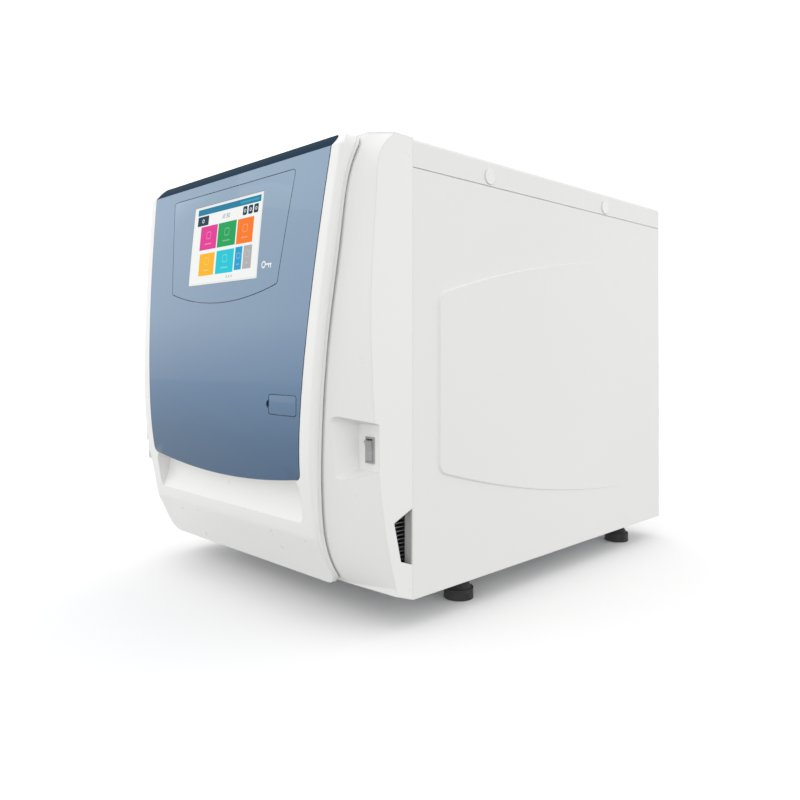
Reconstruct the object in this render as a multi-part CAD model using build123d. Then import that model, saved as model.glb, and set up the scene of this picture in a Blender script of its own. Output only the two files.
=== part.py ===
"""Benchtop steam autoclave: a cylindrical pressure chamber behind a swinging front door.

Millimetres, +Z up, +X to the right of someone facing the door, and the door faces -Y. Every piece is
drawn from the casing seam, the plane y = 0 where the moulded front fascia meets the sheet-metal casing.
It is moved at export so that the origin is under the middle of the whole object, on the surface that
it stands on.
"""

import os

from build123d import *

# ---- overall sizes -------------------------------------------------------------------------------
WIDTH = 440.0  # outside the two side panels
HEIGHT = 500.0  # floor to the top cover
CASE_LENGTH = 540.0  # seam to the back of the rear panel
DOOR_REACH = 96.5  # how far the door bulges in front of the seam
REAR_REACH = 17.5  # what the wall bumpers stand off behind the rear panel
FOOT_HEIGHT = 30.0
OVERALL_DEPTH = DOOR_REACH + CASE_LENGTH + REAR_REACH
SEAM_Y = DOOR_REACH - OVERALL_DEPTH / 2

# ---- walls and clearances ------------------------------------------------------------------------
SHEET = 1.2  # casing sheet metal
PAN = 2.0  # base pan
MOULDING = 3.0  # plastic walls
REVEAL = 0.5  # the fine gap around an inserted panel
DOOR_GAP = 3.2  # between the door's back edge and the fascia, at the hinge side
LATCH_GAP = 1.6  # the same at the free side
RUNNING = 0.05  # radial clearance of a turning pin
SEAT = 0.3  # clearance between pieces that lie against each other
FAR = 400.0  # longer than any cut needs

HALF = WIDTH / 2
BASE_TOP = FOOT_HEIGHT + PAN

# ---- door outline, seen from the front: narrow at the bottom, wide at the top --------------------
DOOR_BOTTOM = 46.0
DOOR_TOP = HEIGHT - 1.5
DOOR_KNEE = 100.0  # where the sides start to lean out
DOOR_HALF_BOTTOM = 168.0
DOOR_HALF_TOP = 200.0
DOOR_CORNER = 14.0

# Curves of the front, each point as (reach in front of the seam, share of the door's height).
APRON = [(57.0, 0.0), (68.2, 0.048), (79.2, 0.096), (82.0, 0.109), (83.4, 0.122), (89.0, 0.195)]
FRONT_CURVE = APRON + [(94.0, 0.27), (DOOR_REACH, 0.406), (92.5, 0.606), (85.5, 0.782), (76.0, 0.968)]
FRONT_TOP = (63.0, 1.0)  # the bend at the top edge runs straight to here
GAP_LOW = [(44.0, 0.0), (61.5, 0.048), (72.0, 0.119), (80.0, 0.269)]
GAP_CURVE = GAP_LOW + [(81.7, 0.4), (78.5, 0.59), (70.5, 0.78), (59.0, 0.945), (46.0, 1.0)]
CREASE_LOW = [(24.0, 0.0), (33.0, 0.075), (43.0, 0.19), (52.0, 0.35)]
CREASE_CURVE = CREASE_LOW + [(57.5, 0.55), (56.0, 0.72), (50.5, 0.88), (42.0, 0.965), (26.0, 1.0)]

# ---- blue panel, display and flap on the door ----------------------------------------------------
PANEL_THICK = 3.0
PANEL_PROUD = 0.3
PANEL_MARGIN_TOP = 16.0  # from the door's side edge
PANEL_MARGIN_BOTTOM = 19.0
PANEL_BOTTOM = 155.0
PANEL_SAG = 12.0  # the lower edge's arc
PANEL_CORNER = 8.0
SHIELD_TOP = 470.5
SHIELD_SHOULDER = 353.0
SHIELD_SAG = 15.0
SHIELD_HALF_TOP = 128.0
SHIELD_HALF_BOTTOM = 111.5
SCREEN_WIDTH = 146.0
SCREEN_LOW = 361.0
SCREEN_HIGH = 456.0
FLAP_LEFT, FLAP_RIGHT = 106.5, 153.0
FLAP_LOW, FLAP_HIGH = 218.0, 238.0
FLAP_THICK = 2.2
THUMB_NOTCH = 4.5

# ---- grip trough under the panel -----------------------------------------------------------------
TROUGH_HALF = 150.0
TROUGH_LIP = 110.0
TROUGH_SAG = 8.0
TROUGH_BACK = 75.0  # reach of its back wall
TROUGH_WALL = 2.5

# ---- fascia --------------------------------------------------------------------------------------
LOWER_SHARES = [0.0, 0.06, 0.13, 0.22, 0.32, 0.42, 0.52, 0.62, 0.72, 0.82, 0.9]
UPPER_SHARES = [0.9, 0.935, 0.97, 1.0]
FASCIA_FIELD_DEPTH = 24.0  # the field behind the door steps back this far
FASCIA_FIELD_INSET = 8.0
LINER_DEPTH = 25.0  # the door's inner cover reaches into the field
LINER_INSET = 12.5
LINER_LIP = 5.0  # height of the liner's rim in front of the door's back edge
RECESS_WIDE = 30.0  # from the side panel
RECESS_BACK = 47.0  # reach of the wall that carries the switch
RECESS_LOW, RECESS_HIGH = 165.0, 211.0
RECESS_FLARE = (13.0, 20.0, 12.0)  # how far its mouth is wider above, below and to the left
RECESS_RUN = 45.0  # the length over which it widens
RECESS_CORNER = 3.0
VENT = [(-26.5, 112.0), (-1.0, 123.0), (-1.0, 66.0), (-17.0, 72.0)]

# ---- power switch --------------------------------------------------------------------------------
SWITCH_X, SWITCH_Z = HALF - 12.5, 185.5
SWITCH_WIDE, SWITCH_TALL, SWITCH_DEEP = 12.0, 26.0, 20.0
ROCKER_WIDE, ROCKER_TALL = 8.6, 21.0
ROCKER_TILT = 8.0  # half of the throw

# ---- chamber -------------------------------------------------------------------------------------
CHAMBER_Z = HEIGHT * 0.53
CHAMBER_BORE = 125.0
CHAMBER_WALL = 3.0
CHAMBER_LENGTH = 345.0
FLANGE_RADIUS = CHAMBER_BORE + 25.0
FLANGE_THICK = 15.0
FLANGE_FRONT = -57.0
INSULATION = 22.0
HEATER_THICK = 3.0
MOUTH_RADIUS = FLANGE_RADIUS + 8.0  # the fascia's round opening
COLLAR = 3.0
PLATE_RADIUS = CHAMBER_BORE + 16.0
PLATE_THICK = 8.0
GASKET_THICK = 5.0
GASKET_WIDTH = 12.0

# ---- hinge, lock ---------------------------------------------------------------------------------
HINGE_X, HINGE_Y = -(DOOR_HALF_TOP - 12.0), -78.0
HINGE_LOW, HINGE_HIGH = HEIGHT * 0.28, HEIGHT * 0.48
KNUCKLE_RADIUS = 6.0
KNUCKLE_SHARE = 25.0  # height of each outer knuckle
PIN_RADIUS = 3.0
ARM_FRONT, ARM_THICK = -86.6, 4.0
LOCK_Z_OFFSET = 42.0
BOLT_RADIUS = 4.0
BOLT_Y = -63.7
LOCK_BAR = (128.0, 134.0)  # the bar's two sides, in front of the pressure plate
BOLT_ROOT = (138.0, 144.0)  # the bolts' roots, beside the plate
STRIKE_THICK = 5.0
STRIKE_WALL = 2.4

# ---- feet ----------------------------------------------------------------------------------------
FOOT_X = HALF - 33.0
FOOT_Y = (109.0, CASE_LENGTH - 70.0)
FOOT_RADIUS = 17.0
STUD_RADIUS = 4.0

# ---- top cover, side panels ----------------------------------------------------------------------
COVER_DROP = 30.0  # how far the cover folds down each side
COVER_SEAM = 0.8
COVER_BEND = 5.0
CAP_RADIUS, CAP_PROUD = 9.0, 1.2
CAP_Y = (125.0, CASE_LENGTH - 161.0)
CAP_BELOW_TOP = 19.5
EMBOSS = 2.0
EMBOSS_FRONT = 37.6
EMBOSS_FADE = CASE_LENGTH - 100.0  # where the raised field has sunk back into the sheet
EMBOSS_Z = HEIGHT / 2 - 1.0
EMBOSS_HALF = (95.0, 129.5, 158.0)  # half of the field's height at its front, middle and back
EMBOSS_MIDDLE = CASE_LENGTH * 0.337
LID_X, LID_Y = (-85.0, 85.0), (CASE_LENGTH - 210.0, CASE_LENGTH - 100.0)
LID_THICK = 2.5
NECK_RADIUS = 22.0

# ---- trays ---------------------------------------------------------------------------------------
TRAY_WIDTH, TRAY_DEPTH, TRAY_WALL = CHAMBER_BORE * 1.44, 16.0, 1.0
TRAY_LENGTH = CHAMBER_LENGTH - 60.0
TRAY_PITCH = CHAMBER_BORE * 0.336
TRAY_COUNT = 3
TRAY_HOLE, TRAY_HOLE_PITCH = 4.0, 30.0
TRAY_FRONT = -30.0
RACK_LEG = CHAMBER_BORE * 0.48  # its legs' distance from the middle

# ---- rear fan ------------------------------------------------------------------------------------
FAN_SIZE, FAN_DEPTH = 92.0, 25.0
FAN_X, FAN_Z = HALF - 100.0, 120.0
FAN_HUB = 19.0
BLADES = 7
GUARD_RINGS = (12, 22, 32, 42)

# ---- inner parts and rear fittings ---------------------------------------------------------------
FLOOR = BASE_TOP + SHEET + SEAT  # upper face of the base pan
INLET_X, INLET_Z = -(HALF - 70.0), 75.0
SAFETY_X, SAFETY_Z = -60.0, CHAMBER_Z
COUPLING_X, COUPLING_Z = (-60.0, -15.0), 75.0
LOUVRE_X, LOUVRE_Z = (HALF - 180.0, HALF - 100.0), HEIGHT - 170.0
LOUVRE_ROWS, LOUVRE_PITCH, LOUVRE_HALF, LOUVRE_OPEN = 7, 14.0, 30.0, 5.0
BUMPER_X, BUMPER_Z = HALF - 55.0, HEIGHT - 60.0
TANK_LOW, TANK_HIGH = HEIGHT - 76.0, HEIGHT - 12.0
TANK_Y = (60.0, CASE_LENGTH - 70.0)
TANK_SIDE = HALF - 30.0
TANK_SPLIT = (-64.0, -60.0)  # the facing walls of the two tanks
TANK_WALL, TANK_CORNER = 2.5, 12.0
PUMP_X, PUMP_Y = 110.0, CASE_LENGTH - 240.0
BOILER_X, BOILER_Y, BOILER_TALL = -120.0, CASE_LENGTH - 160.0, 190.0
MANIFOLD_Y = CASE_LENGTH - 110.0
CONDENSER_X = (HALF - 36.0, HALF - 13.0)
BOARD_X, BOARD_Y = -(HALF - 12.0), 120.0
SUPPLY_X = -(HALF - 32.0)
FILTER_X, FILTER_Z = FAN_X, LOUVRE_Z + 42.0
LEG_TOP = 122.0  # height of the steel frame's lower edge


def block(x0, x1, y0, y1, z0, z1):
    """A box from its two corners."""
    return Pos((x0 + x1) / 2, (y0 + y1) / 2, (z0 + z1) / 2) * Box(x1 - x0, y1 - y0, z1 - z0)


def rod_y(x, z, radius, y0, y1):
    """A cylinder along Y."""
    return Pos(x, (y0 + y1) / 2, z) * Rot(90, 0, 0) * Cylinder(radius, y1 - y0)


def rod_x(y, z, radius, x0, x1):
    """A cylinder along X."""
    return Pos((x0 + x1) / 2, y, z) * Rot(0, 90, 0) * Cylinder(radius, x1 - x0)


def rod_z(x, y, radius, z0, z1):
    """A cylinder along Z."""
    return Pos(x, y, (z0 + z1) / 2) * Cylinder(radius, z1 - z0)


def tube_y(x, z, outer, inner, y0, y1):
    """A ring along Y."""
    return rod_y(x, z, outer, y0, y1) - rod_y(x, z, inner, y0 - 1, y1 + 1)


def across(edges, half=FAR):
    """A solid that runs along X, from a closed outline in the YZ plane."""
    return extrude(Face(Wire(edges)), amount=half, dir=(1, 0, 0), both=True)


def through(edges):
    """A solid that runs along Y, from a closed outline in the XZ plane."""
    return extrude(Face(Wire(edges)), amount=FAR, dir=(0, 1, 0), both=True)


def sheet_outline(points):
    """A closed outline of straight edges through (a, b, c) points."""
    return Polyline(*points, close=True).edges()


def height_at(share):
    """Height of a share of the door's height."""
    return DOOR_BOTTOM + share * (DOOR_TOP - DOOR_BOTTOM)


def half_width_at(z):
    """Half of the door's width at a height."""
    lean = (DOOR_HALF_TOP - DOOR_HALF_BOTTOM) / (HEIGHT - DOOR_KNEE)
    return DOOR_HALF_BOTTOM + lean * max(0.0, z - DOOR_KNEE)


def behind(curve, shift=0.0, top=None):
    """Everything behind a curve of the front, which is moved back by shift."""
    points = [(0, shift - reach, height_at(share)) for reach, share in curve]
    edges = [Spline(*points)]
    if top:
        points.append((0, shift - top[0], height_at(top[1])))
        edges.append(Line(points[-2], points[-1]))
    back = CASE_LENGTH
    edges.append(Polyline(points[-1], (0, back, points[-1][2]), (0, back, points[0][2]), points[0]))
    return across([edge for shape in edges for edge in shape.edges()])


def behind_front(shift=0.0):
    """Everything behind the door's face."""
    return behind(FRONT_CURVE, shift, FRONT_TOP)


def behind_gap(shift=0.0):
    """Everything behind the door's back edge."""
    return behind(GAP_CURVE, shift)


def front_layer(near, far):
    """The skin of the door between two depths under its face."""
    return behind_front(near) - behind_front(far)


def door_prism(inset=0.0):
    """The door's outline, run along Y and drawn in by inset."""
    bottom, knee = DOOR_HALF_BOTTOM - inset, DOOR_KNEE
    top = half_width_at(DOOR_TOP) - inset
    low, high = DOOR_BOTTOM + inset, DOOR_TOP - inset
    right = [(bottom, 0, low), (bottom, 0, knee), (top, 0, high)]
    face = Face(Wire(sheet_outline(right + [(-x, y, z) for x, y, z in reversed(right)])))
    prism = extrude(face, amount=FAR, dir=(0, 1, 0), both=True)
    ends = [edge for edge in prism.edges().filter_by(Axis.Y) if abs(edge.center().Z - knee) > 1]
    return fillet(ends, max(2.0, DOOR_CORNER - inset))


def panel_half_at(z, inset=0.0):
    """Half of the blue panel's width at a height."""
    share = (z - PANEL_BOTTOM) / (HEIGHT - PANEL_BOTTOM)
    margin = PANEL_MARGIN_BOTTOM + share * (PANEL_MARGIN_TOP - PANEL_MARGIN_BOTTOM)
    return half_width_at(z) - margin - inset


def panel_prism(inset=0.0):
    """The blue panel's outline, run along Y."""
    low, high = PANEL_BOTTOM + inset, DOOR_TOP - 1.0 - inset
    bottom, top = panel_half_at(low, inset), panel_half_at(high, inset)
    sag = low - PANEL_SAG
    edges = [ThreePointArc((-bottom, 0, low), (0, 0, sag), (bottom, 0, low))]
    edges.append(Polyline((bottom, 0, low), (top, 0, high), (-top, 0, high), (-bottom, 0, low)))
    prism = through([edge for shape in edges for edge in shape.edges()])
    return fillet(prism.edges().filter_by(Axis.Y), max(2.0, PANEL_CORNER - inset))


def shield_prism(inset=0.0):
    """The display insert's outline, a shield with a curved lower edge."""
    low, high = SHIELD_SHOULDER + inset, SHIELD_TOP - inset
    bottom, top = SHIELD_HALF_BOTTOM - inset, SHIELD_HALF_TOP - inset
    edges = [ThreePointArc((-bottom, 0, low), (0, 0, low - SHIELD_SAG), (bottom, 0, low))]
    edges.append(Polyline((bottom, 0, low), (top, 0, high), (-top, 0, high), (-bottom, 0, low)))
    prism = through([edge for shape in edges for edge in shape.edges()])
    return fillet(prism.edges().filter_by(Axis.Y), 4.0 - inset)


def screen_prism(inset=0.0):
    """The touch screen's outline."""
    half = SCREEN_WIDTH / 2 - inset
    return block(-half, half, -FAR, FAR, SCREEN_LOW + inset, SCREEN_HIGH - inset)


def flap_prism(inset=0.0):
    """The small flap's outline, without its thumb notch."""
    prism = block(FLAP_LEFT + inset, FLAP_RIGHT - inset, -FAR, FAR, FLAP_LOW + inset, FLAP_HIGH - inset)
    return fillet(prism.edges().filter_by(Axis.Y), 3.0)


def thumb_notch():
    """The half-round notch beside the flap's free edge."""
    return rod_y(FLAP_LEFT, (FLAP_LOW + FLAP_HIGH) / 2, THUMB_NOTCH, -FAR, FAR)


def trough_prism(grow=0.0):
    """The grip trough: its outline from the front, cut off by its curved floor."""
    top, lip = PANEL_BOTTOM + grow, TROUGH_LIP - grow
    half = TROUGH_HALF + grow
    edges = [ThreePointArc((-half, 0, lip), (0, 0, lip - TROUGH_SAG), (half, 0, lip))]
    edges.append(Polyline((half, 0, lip), (half, 0, top)))
    edges.append(ThreePointArc((half, 0, top), (0, 0, top - PANEL_SAG), (-half, 0, top)))
    edges.append(Polyline((-half, 0, top), (-half, 0, lip)))
    outline = through([edge for shape in edges for edge in shape.edges()])
    outline = fillet(outline.edges().filter_by(Axis.Y), 10.0 + grow)
    back, foot = -TROUGH_BACK + grow, lip - TROUGH_SAG
    floor = [Line((0, -FAR, top + 5), (0, back, top + 5)), Line((0, back, top + 5), (0, back, top - 8))]
    floor.append(ThreePointArc((0, back, top - 8), (0, back - 5, foot + 16), (0, back - 18, foot - 2)))
    floor.append(Polyline((0, back - 18, foot - 2), (0, -FAR, foot - 2), (0, -FAR, top + 5)))
    return outline & across([edge for shape in floor for edge in shape.edges()])


# ---- door ----------------------------------------------------------------------------------------


def hinge_clearance(extra):
    """Room around the hinge barrel and the arm that leaves it."""
    radius = KNUCKLE_RADIUS + extra
    barrel = rod_z(HINGE_X, HINGE_Y, radius, HINGE_LOW - extra, HINGE_HIGH + extra)
    low, high = HINGE_LOW + KNUCKLE_SHARE, HINGE_HIGH - KNUCKLE_SHARE
    front, back = ARM_FRONT - extra, ARM_FRONT + ARM_THICK + extra
    return barrel + block(HINGE_X, HINGE_X + 40, front, back, low - extra, high + extra)


def door_shell():
    """The white outer moulding with its panel pocket and grip trough."""
    body = (behind_front() - behind_gap(-LINER_LIP)) & door_prism()
    hollow = behind_front(PANEL_THICK + MOULDING + 0.5) & door_prism(MOULDING + 0.5)
    wall = trough_prism(TROUGH_WALL) & behind_front()
    body = (body - hollow) + wall
    body -= trough_prism()
    body -= panel_prism(-REVEAL) - behind_front(PANEL_THICK)
    body -= display_window() + flap_pocket()
    body -= hinge_clearance(1.0)
    return body


def display_window():
    """The hole in the shell behind the display."""
    return screen_prism(3.0) & front_layer(-5, 20)


def flap_pocket():
    """The pocket for the data socket behind the flap."""
    middle = (FLAP_LOW + FLAP_HIGH) / 2
    return block(FLAP_LEFT + 3, FLAP_RIGHT - 3, -DOOR_REACH, -DOOR_REACH + 12, middle - 7.5, middle + 7.5)


def door_panel():
    """The blue glossy front panel, with openings for the display insert and the flap."""
    panel = panel_prism() & front_layer(-PANEL_PROUD, PANEL_THICK - PANEL_PROUD)
    return panel - shield_prism(-REVEAL) - flap_prism(-REVEAL) - thumb_notch()


def display_bezel():
    """The shield-shaped insert around the screen."""
    return (shield_prism() & front_layer(-PANEL_PROUD, PANEL_THICK - PANEL_PROUD)) - screen_prism(-0.2)


def touch_screen():
    """The screen's cover glass."""
    return screen_prism() & front_layer(-PANEL_PROUD, PANEL_THICK - PANEL_PROUD)


def display_module():
    """The screen's module and board, behind the glass."""
    board = screen_prism(4.0) & front_layer(PANEL_THICK, PANEL_THICK + 8)
    return board


def usb_flap():
    """The flap over the data socket, hung from its right edge."""
    return flap_prism() & front_layer(-PANEL_PROUD, FLAP_THICK - PANEL_PROUD)


def usb_port():
    """The data socket in its pocket."""
    middle = (FLAP_LOW + FLAP_HIGH) / 2
    left, right = FLAP_LEFT + 3.3, FLAP_RIGHT - 3.3
    front = -DOOR_REACH + 3.2
    body = block(left, right, front, front + 7.5, middle - 7.2, middle + 7.2)
    mouth_left = (left + right) / 2 - 6.6
    return body - block(mouth_left, mouth_left + 13.2, front - 1, front + 6, middle - 2.9, middle + 2.9)


def door_liner():
    """The white back cover of the door, with a round opening for the pressure plate."""
    rim = door_prism(1.5) & (behind_gap(-LINER_LIP + REVEAL) - behind_gap())
    deep = door_prism(LINER_INSET) & (behind_gap(-LINER_LIP + REVEAL) - behind_gap(LINER_DEPTH))
    hollow = door_prism(LINER_INSET + MOULDING)
    hollow &= behind_gap(-LINER_LIP - 2) - behind_gap(LINER_DEPTH - MOULDING)
    liner = rim + deep - hollow
    liner -= rod_y(0, CHAMBER_Z, FLANGE_RADIUS + 3, -FAR, FAR)
    liner -= hinge_clearance(1.0)
    liner -= trough_prism(TROUGH_WALL + 0.3)
    for z in lock_heights():
        liner -= rod_x(BOLT_Y, z, BOLT_RADIUS + SEAT, BOLT_ROOT[1], FAR)
    return liner


def door_arm():
    """The steel plate that carries the pressure plate and ends in the door's hinge knuckle."""
    low, high = HINGE_LOW + KNUCKLE_SHARE + SEAT, HINGE_HIGH - KNUCKLE_SHARE - SEAT
    back = ARM_FRONT + ARM_THICK
    plate = block(HINGE_X, -60, ARM_FRONT, back, low, high)
    plate += block(-90, 90, ARM_FRONT, back, low, CHAMBER_Z + 42)
    knuckle = rod_z(HINGE_X, HINGE_Y, KNUCKLE_RADIUS, low, high)
    web = block(HINGE_X - 2, HINGE_X + 8, ARM_FRONT, HINGE_Y, low, high)
    body = plate + knuckle + (web - rod_z(HINGE_X, HINGE_Y, PIN_RADIUS + 1, low - 1, high + 1))
    body -= rod_z(HINGE_X, HINGE_Y, PIN_RADIUS + RUNNING, low - 1, high + 1)
    for x, z in plate_studs():
        body += rod_y(x, z, 7, back, plate_front())
    return body


def plate_front():
    """Front face of the pressure plate."""
    return FLANGE_FRONT - GASKET_THICK - PLATE_THICK


def plate_studs():
    """Where the arm's four studs meet the pressure plate."""
    return [(x, z) for x in (-70, 70) for z in (CHAMBER_Z - 45, CHAMBER_Z + 33)]


def pressure_plate():
    """The stainless disc that closes the chamber, with a seat for its gasket."""
    front = plate_front()
    plate = rod_y(0, CHAMBER_Z, PLATE_RADIUS, front, front + PLATE_THICK)
    back = front + PLATE_THICK
    plate -= tube_y(0, CHAMBER_Z, gasket_outer(), gasket_inner(), back - 2, back + 1)
    return plate + rod_y(0, CHAMBER_Z, gasket_inner() - 8, back, back + 3)


def gasket_outer():
    return PLATE_RADIUS - 2


def gasket_inner():
    return PLATE_RADIUS - 2 - GASKET_WIDTH


def door_gasket():
    """The silicone seal in the plate's groove."""
    back = plate_front() + PLATE_THICK
    return tube_y(0, CHAMBER_Z, gasket_outer() - 0.2, gasket_inner() + 0.2, back - 2, FLANGE_FRONT - 0.1)


def lock_heights():
    """Heights of the two lock bolts."""
    return [CHAMBER_Z - LOCK_Z_OFFSET, CHAMBER_Z + LOCK_Z_OFFSET]


def bolt_tip(z):
    """Where a drawn-back bolt ends, inside the hole in the liner's side wall."""
    return half_width_at(z) - LINER_INSET - 0.5


def lock_bar():
    """The sliding bar with the two bolts that lock the door, stored drawn back."""
    low, high = lock_heights()
    front, back = BOLT_Y - 16, plate_front() - 1
    bar = block(*LOCK_BAR, front, back, low - 5, high + 5)
    for z in (low, high):
        bar += block(LOCK_BAR[0], BOLT_ROOT[1], front, back, z - 5, z + 5)
        bar += block(*BOLT_ROOT, front, BOLT_Y + 3, z - 5, z + 5)
        bar += rod_x(BOLT_Y, z, BOLT_RADIUS, BOLT_ROOT[0], bolt_tip(z))
    return bar


# ---- casing --------------------------------------------------------------------------------------


def fascia_section(share, inset, back):
    """The fascia's level outline at a share of the door's height."""
    z = height_at(share) - inset * (share > 0.5)
    edge = half_width_at(z) + 1.0 - inset * 0.3
    side, reach = HALF - inset, reach_at(GAP_CURVE, share) - inset
    corner = reach_at(CREASE_CURVE, share) - inset * 0.6
    rear = [(side, -corner, z), (side, back, z)]
    hinge_side = [(-edge, DOOR_GAP - reach, z)] + [(-x, y, z) for x, y, z in rear]
    return Face(Wire(sheet_outline(hinge_side[::-1] + [(edge, LATCH_GAP - reach, z)] + rear)))


def fascia_block(inset, lift, back):
    """The fascia's solid form, drawn in by inset, as smooth lofts through level sections."""
    lower = [fascia_section(share, inset, back) for share in LOWER_SHARES]
    upper = [fascia_section(share, inset, back) for share in UPPER_SHARES]
    skirt = lower[0].moved(Location((0, 0, FOOT_HEIGHT - DOOR_BOTTOM)))
    crown = upper[-1].moved(Location((0, 0, HEIGHT - DOOR_TOP)))
    body = loft(lower) + loft(upper) + loft([skirt, lower[0]]) + loft([upper[-1], crown])
    front = DOOR_BOTTOM + 0.36 * (FAR - 44) + lift
    floor = FOOT_HEIGHT + lift
    under = [(0, -FAR, front), (0, 0, floor), (0, FAR, floor), (0, FAR, -10), (0, -FAR, -10)]
    return body - across(sheet_outline(under))


def reach_at(curve, share):
    """A curve's reach at a share of the door's height, read from its spline."""
    spline = Spline(*[(reach, part * 1000) for reach, part in curve])
    low, high = 0.0, 1.0
    for _ in range(40):
        middle = (low + high) / 2
        low, high = (middle, high) if (spline @ middle).Y < share * 1000 else (low, middle)
    return (spline @ low).X


def front_fascia():
    """The moulded surround that the door closes against."""
    outer = fascia_block(0.0, 0.0, 0.0)
    inner = fascia_block(MOULDING, MOULDING, 10.0)
    pad = door_prism(FASCIA_FIELD_INSET - MOULDING) & behind_gap(DOOR_GAP + 1)
    pad -= behind_gap(DOOR_GAP + FASCIA_FIELD_DEPTH + MOULDING)
    field = door_prism(FASCIA_FIELD_INSET) - behind_gap(DOOR_GAP + FASCIA_FIELD_DEPTH)
    field &= block(-FAR, FAR, -FAR, 0, 0, FAR * 2)
    fascia = outer - (inner - pad) - field
    collar = rod_y(0, CHAMBER_Z, MOUTH_RADIUS + COLLAR, -75, FLANGE_FRONT + 8) & (outer - field)
    recess = switch_recess(0.0)
    fascia = fascia + collar + (switch_recess(MOULDING) & outer)
    fascia -= rod_y(0, CHAMBER_Z, MOUTH_RADIUS, -FAR, 0)
    fascia -= recess
    half_w, half_t = SWITCH_WIDE / 2 - 1, SWITCH_TALL / 2 - 1
    hole = (SWITCH_X - half_w, SWITCH_X + half_w, -RECESS_BACK - 1, -RECESS_BACK + 8)
    fascia -= block(*hole, SWITCH_Z - half_t, SWITCH_Z + half_t)
    vent = [(0, y, z) for y, z in VENT]
    fascia -= across(sheet_outline(vent))
    fascia -= hinge_clearance(2.0)
    fascia -= block(HINGE_X - 8, HINGE_X + 8, HINGE_Y - 2, -40, HINGE_LOW - 1, HINGE_HIGH + 1)
    for z in lock_heights():
        fascia -= rod_x(BOLT_Y, z, BOLT_RADIUS + 1.5, BOLT_ROOT[1], field_side(z) + MOULDING + 1)
    return fascia


def field_side(z):
    """The side of the fascia's field at a height."""
    return half_width_at(z) - FASCIA_FIELD_INSET


def switch_recess(grow):
    """The notch in the right corner that the power switch sits in, wider at its mouth."""
    back, left = grow - RECESS_BACK, HALF - RECESS_WIDE - grow
    above, below, aside = RECESS_FLARE
    low, high = RECESS_LOW - grow, RECESS_HIGH + grow
    inner = recess_section(left, low, high, back, RECESS_CORNER + grow)
    front, round_mouth = back - RECESS_RUN, RECESS_CORNER * 3 + grow
    mouth = recess_section(left - aside, low - below, high + above, front, round_mouth)
    return loft([inner, mouth], ruled=True)


def recess_section(left, low, high, y, corner):
    """An upright rectangle with round corners, which runs out through the fascia's side."""
    right = HALF + 20
    plane = Plane(((left + right) / 2, y, (low + high) / 2), x_dir=(1, 0, 0), z_dir=(0, -1, 0))
    return plane * RectangleRounded(right - left, high - low, corner)


def side_panel(side):
    """A side panel: flat sheet with a raised field that fades towards the back, and folded edges."""
    top = HEIGHT - COVER_DROP - COVER_SEAM
    skin = HALF - SHEET
    sheet = block(skin, HALF, 0, CASE_LENGTH, FOOT_HEIGHT, top)
    jog = SHEET + SEAT
    strip = block(skin - jog, HALF - jog, 2, CASE_LENGTH - 2, top - SHEET, HEIGHT - COVER_BEND - 3)
    step = block(skin - jog, HALF - 0.01, 2, CASE_LENGTH - 2, top - SHEET, top)
    folds = block(HALF - 12, HALF, 0, SHEET, FOOT_HEIGHT, top - 20)
    folds += block(HALF - 12, HALF, CASE_LENGTH - SHEET, CASE_LENGTH, FOOT_HEIGHT, top - 20)
    fold = block(HALF - 14, HALF, 0, CASE_LENGTH, FOOT_HEIGHT, FOOT_HEIGHT + SHEET)
    panel = sheet + strip + step + folds + fold
    raised = emboss()
    panel = panel + raised - raised.moved(Location((-SHEET, 0, 0)))
    for y in CAP_Y:
        panel -= rod_x(y, HEIGHT - CAP_BELOW_TOP, 2.2, HALF - 20, HALF + 5)
    for y in FOOT_Y:
        panel -= rod_z(FOOT_X, y, 8.0, 0, FOOT_HEIGHT + 5)
    return panel if side > 0 else mirror(panel, about=Plane.YZ)


def emboss():
    """The raised field: bevelled edges, full height at the front and sinking into the sheet at the back."""
    x, places = HALF - 1, (EMBOSS_FRONT, EMBOSS_MIDDLE, EMBOSS_FADE + 40)
    upper = [(x, y, EMBOSS_Z + half) for y, half in zip(places, EMBOSS_HALF)]
    lower = [(x, y, EMBOSS_Z - half) for y, half in zip(places, EMBOSS_HALF)]
    edges = [Line(lower[0], upper[0]), ThreePointArc(*upper)]
    edges += [Line(upper[2], lower[2]), ThreePointArc(*lower[::-1])]
    field = extrude(Face(Wire(edges)), amount=EMBOSS + 1, dir=(1, 0, 0))
    field = fillet([e for e in field.edges().filter_by(Axis.X) if e.center().Y < 60], 14.0)
    outer = field.faces().sort_by(Axis.X)[-1]
    field = chamfer(outer.edges(), EMBOSS)
    slope = [(x, -50), (HALF + EMBOSS * 1.15, -50), (HALF + EMBOSS, EMBOSS_FRONT)]
    slope += [(HALF, EMBOSS_FADE), (x, EMBOSS_FADE + 100)]
    wedge = extrude(Face(Wire(sheet_outline([(a, b, 0) for a, b in slope]))), amount=HEIGHT, dir=(0, 0, 1))
    return field & wedge & block(HALF - SHEET, HALF + 5, 0, EMBOSS_FADE, 0, HEIGHT)


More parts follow.
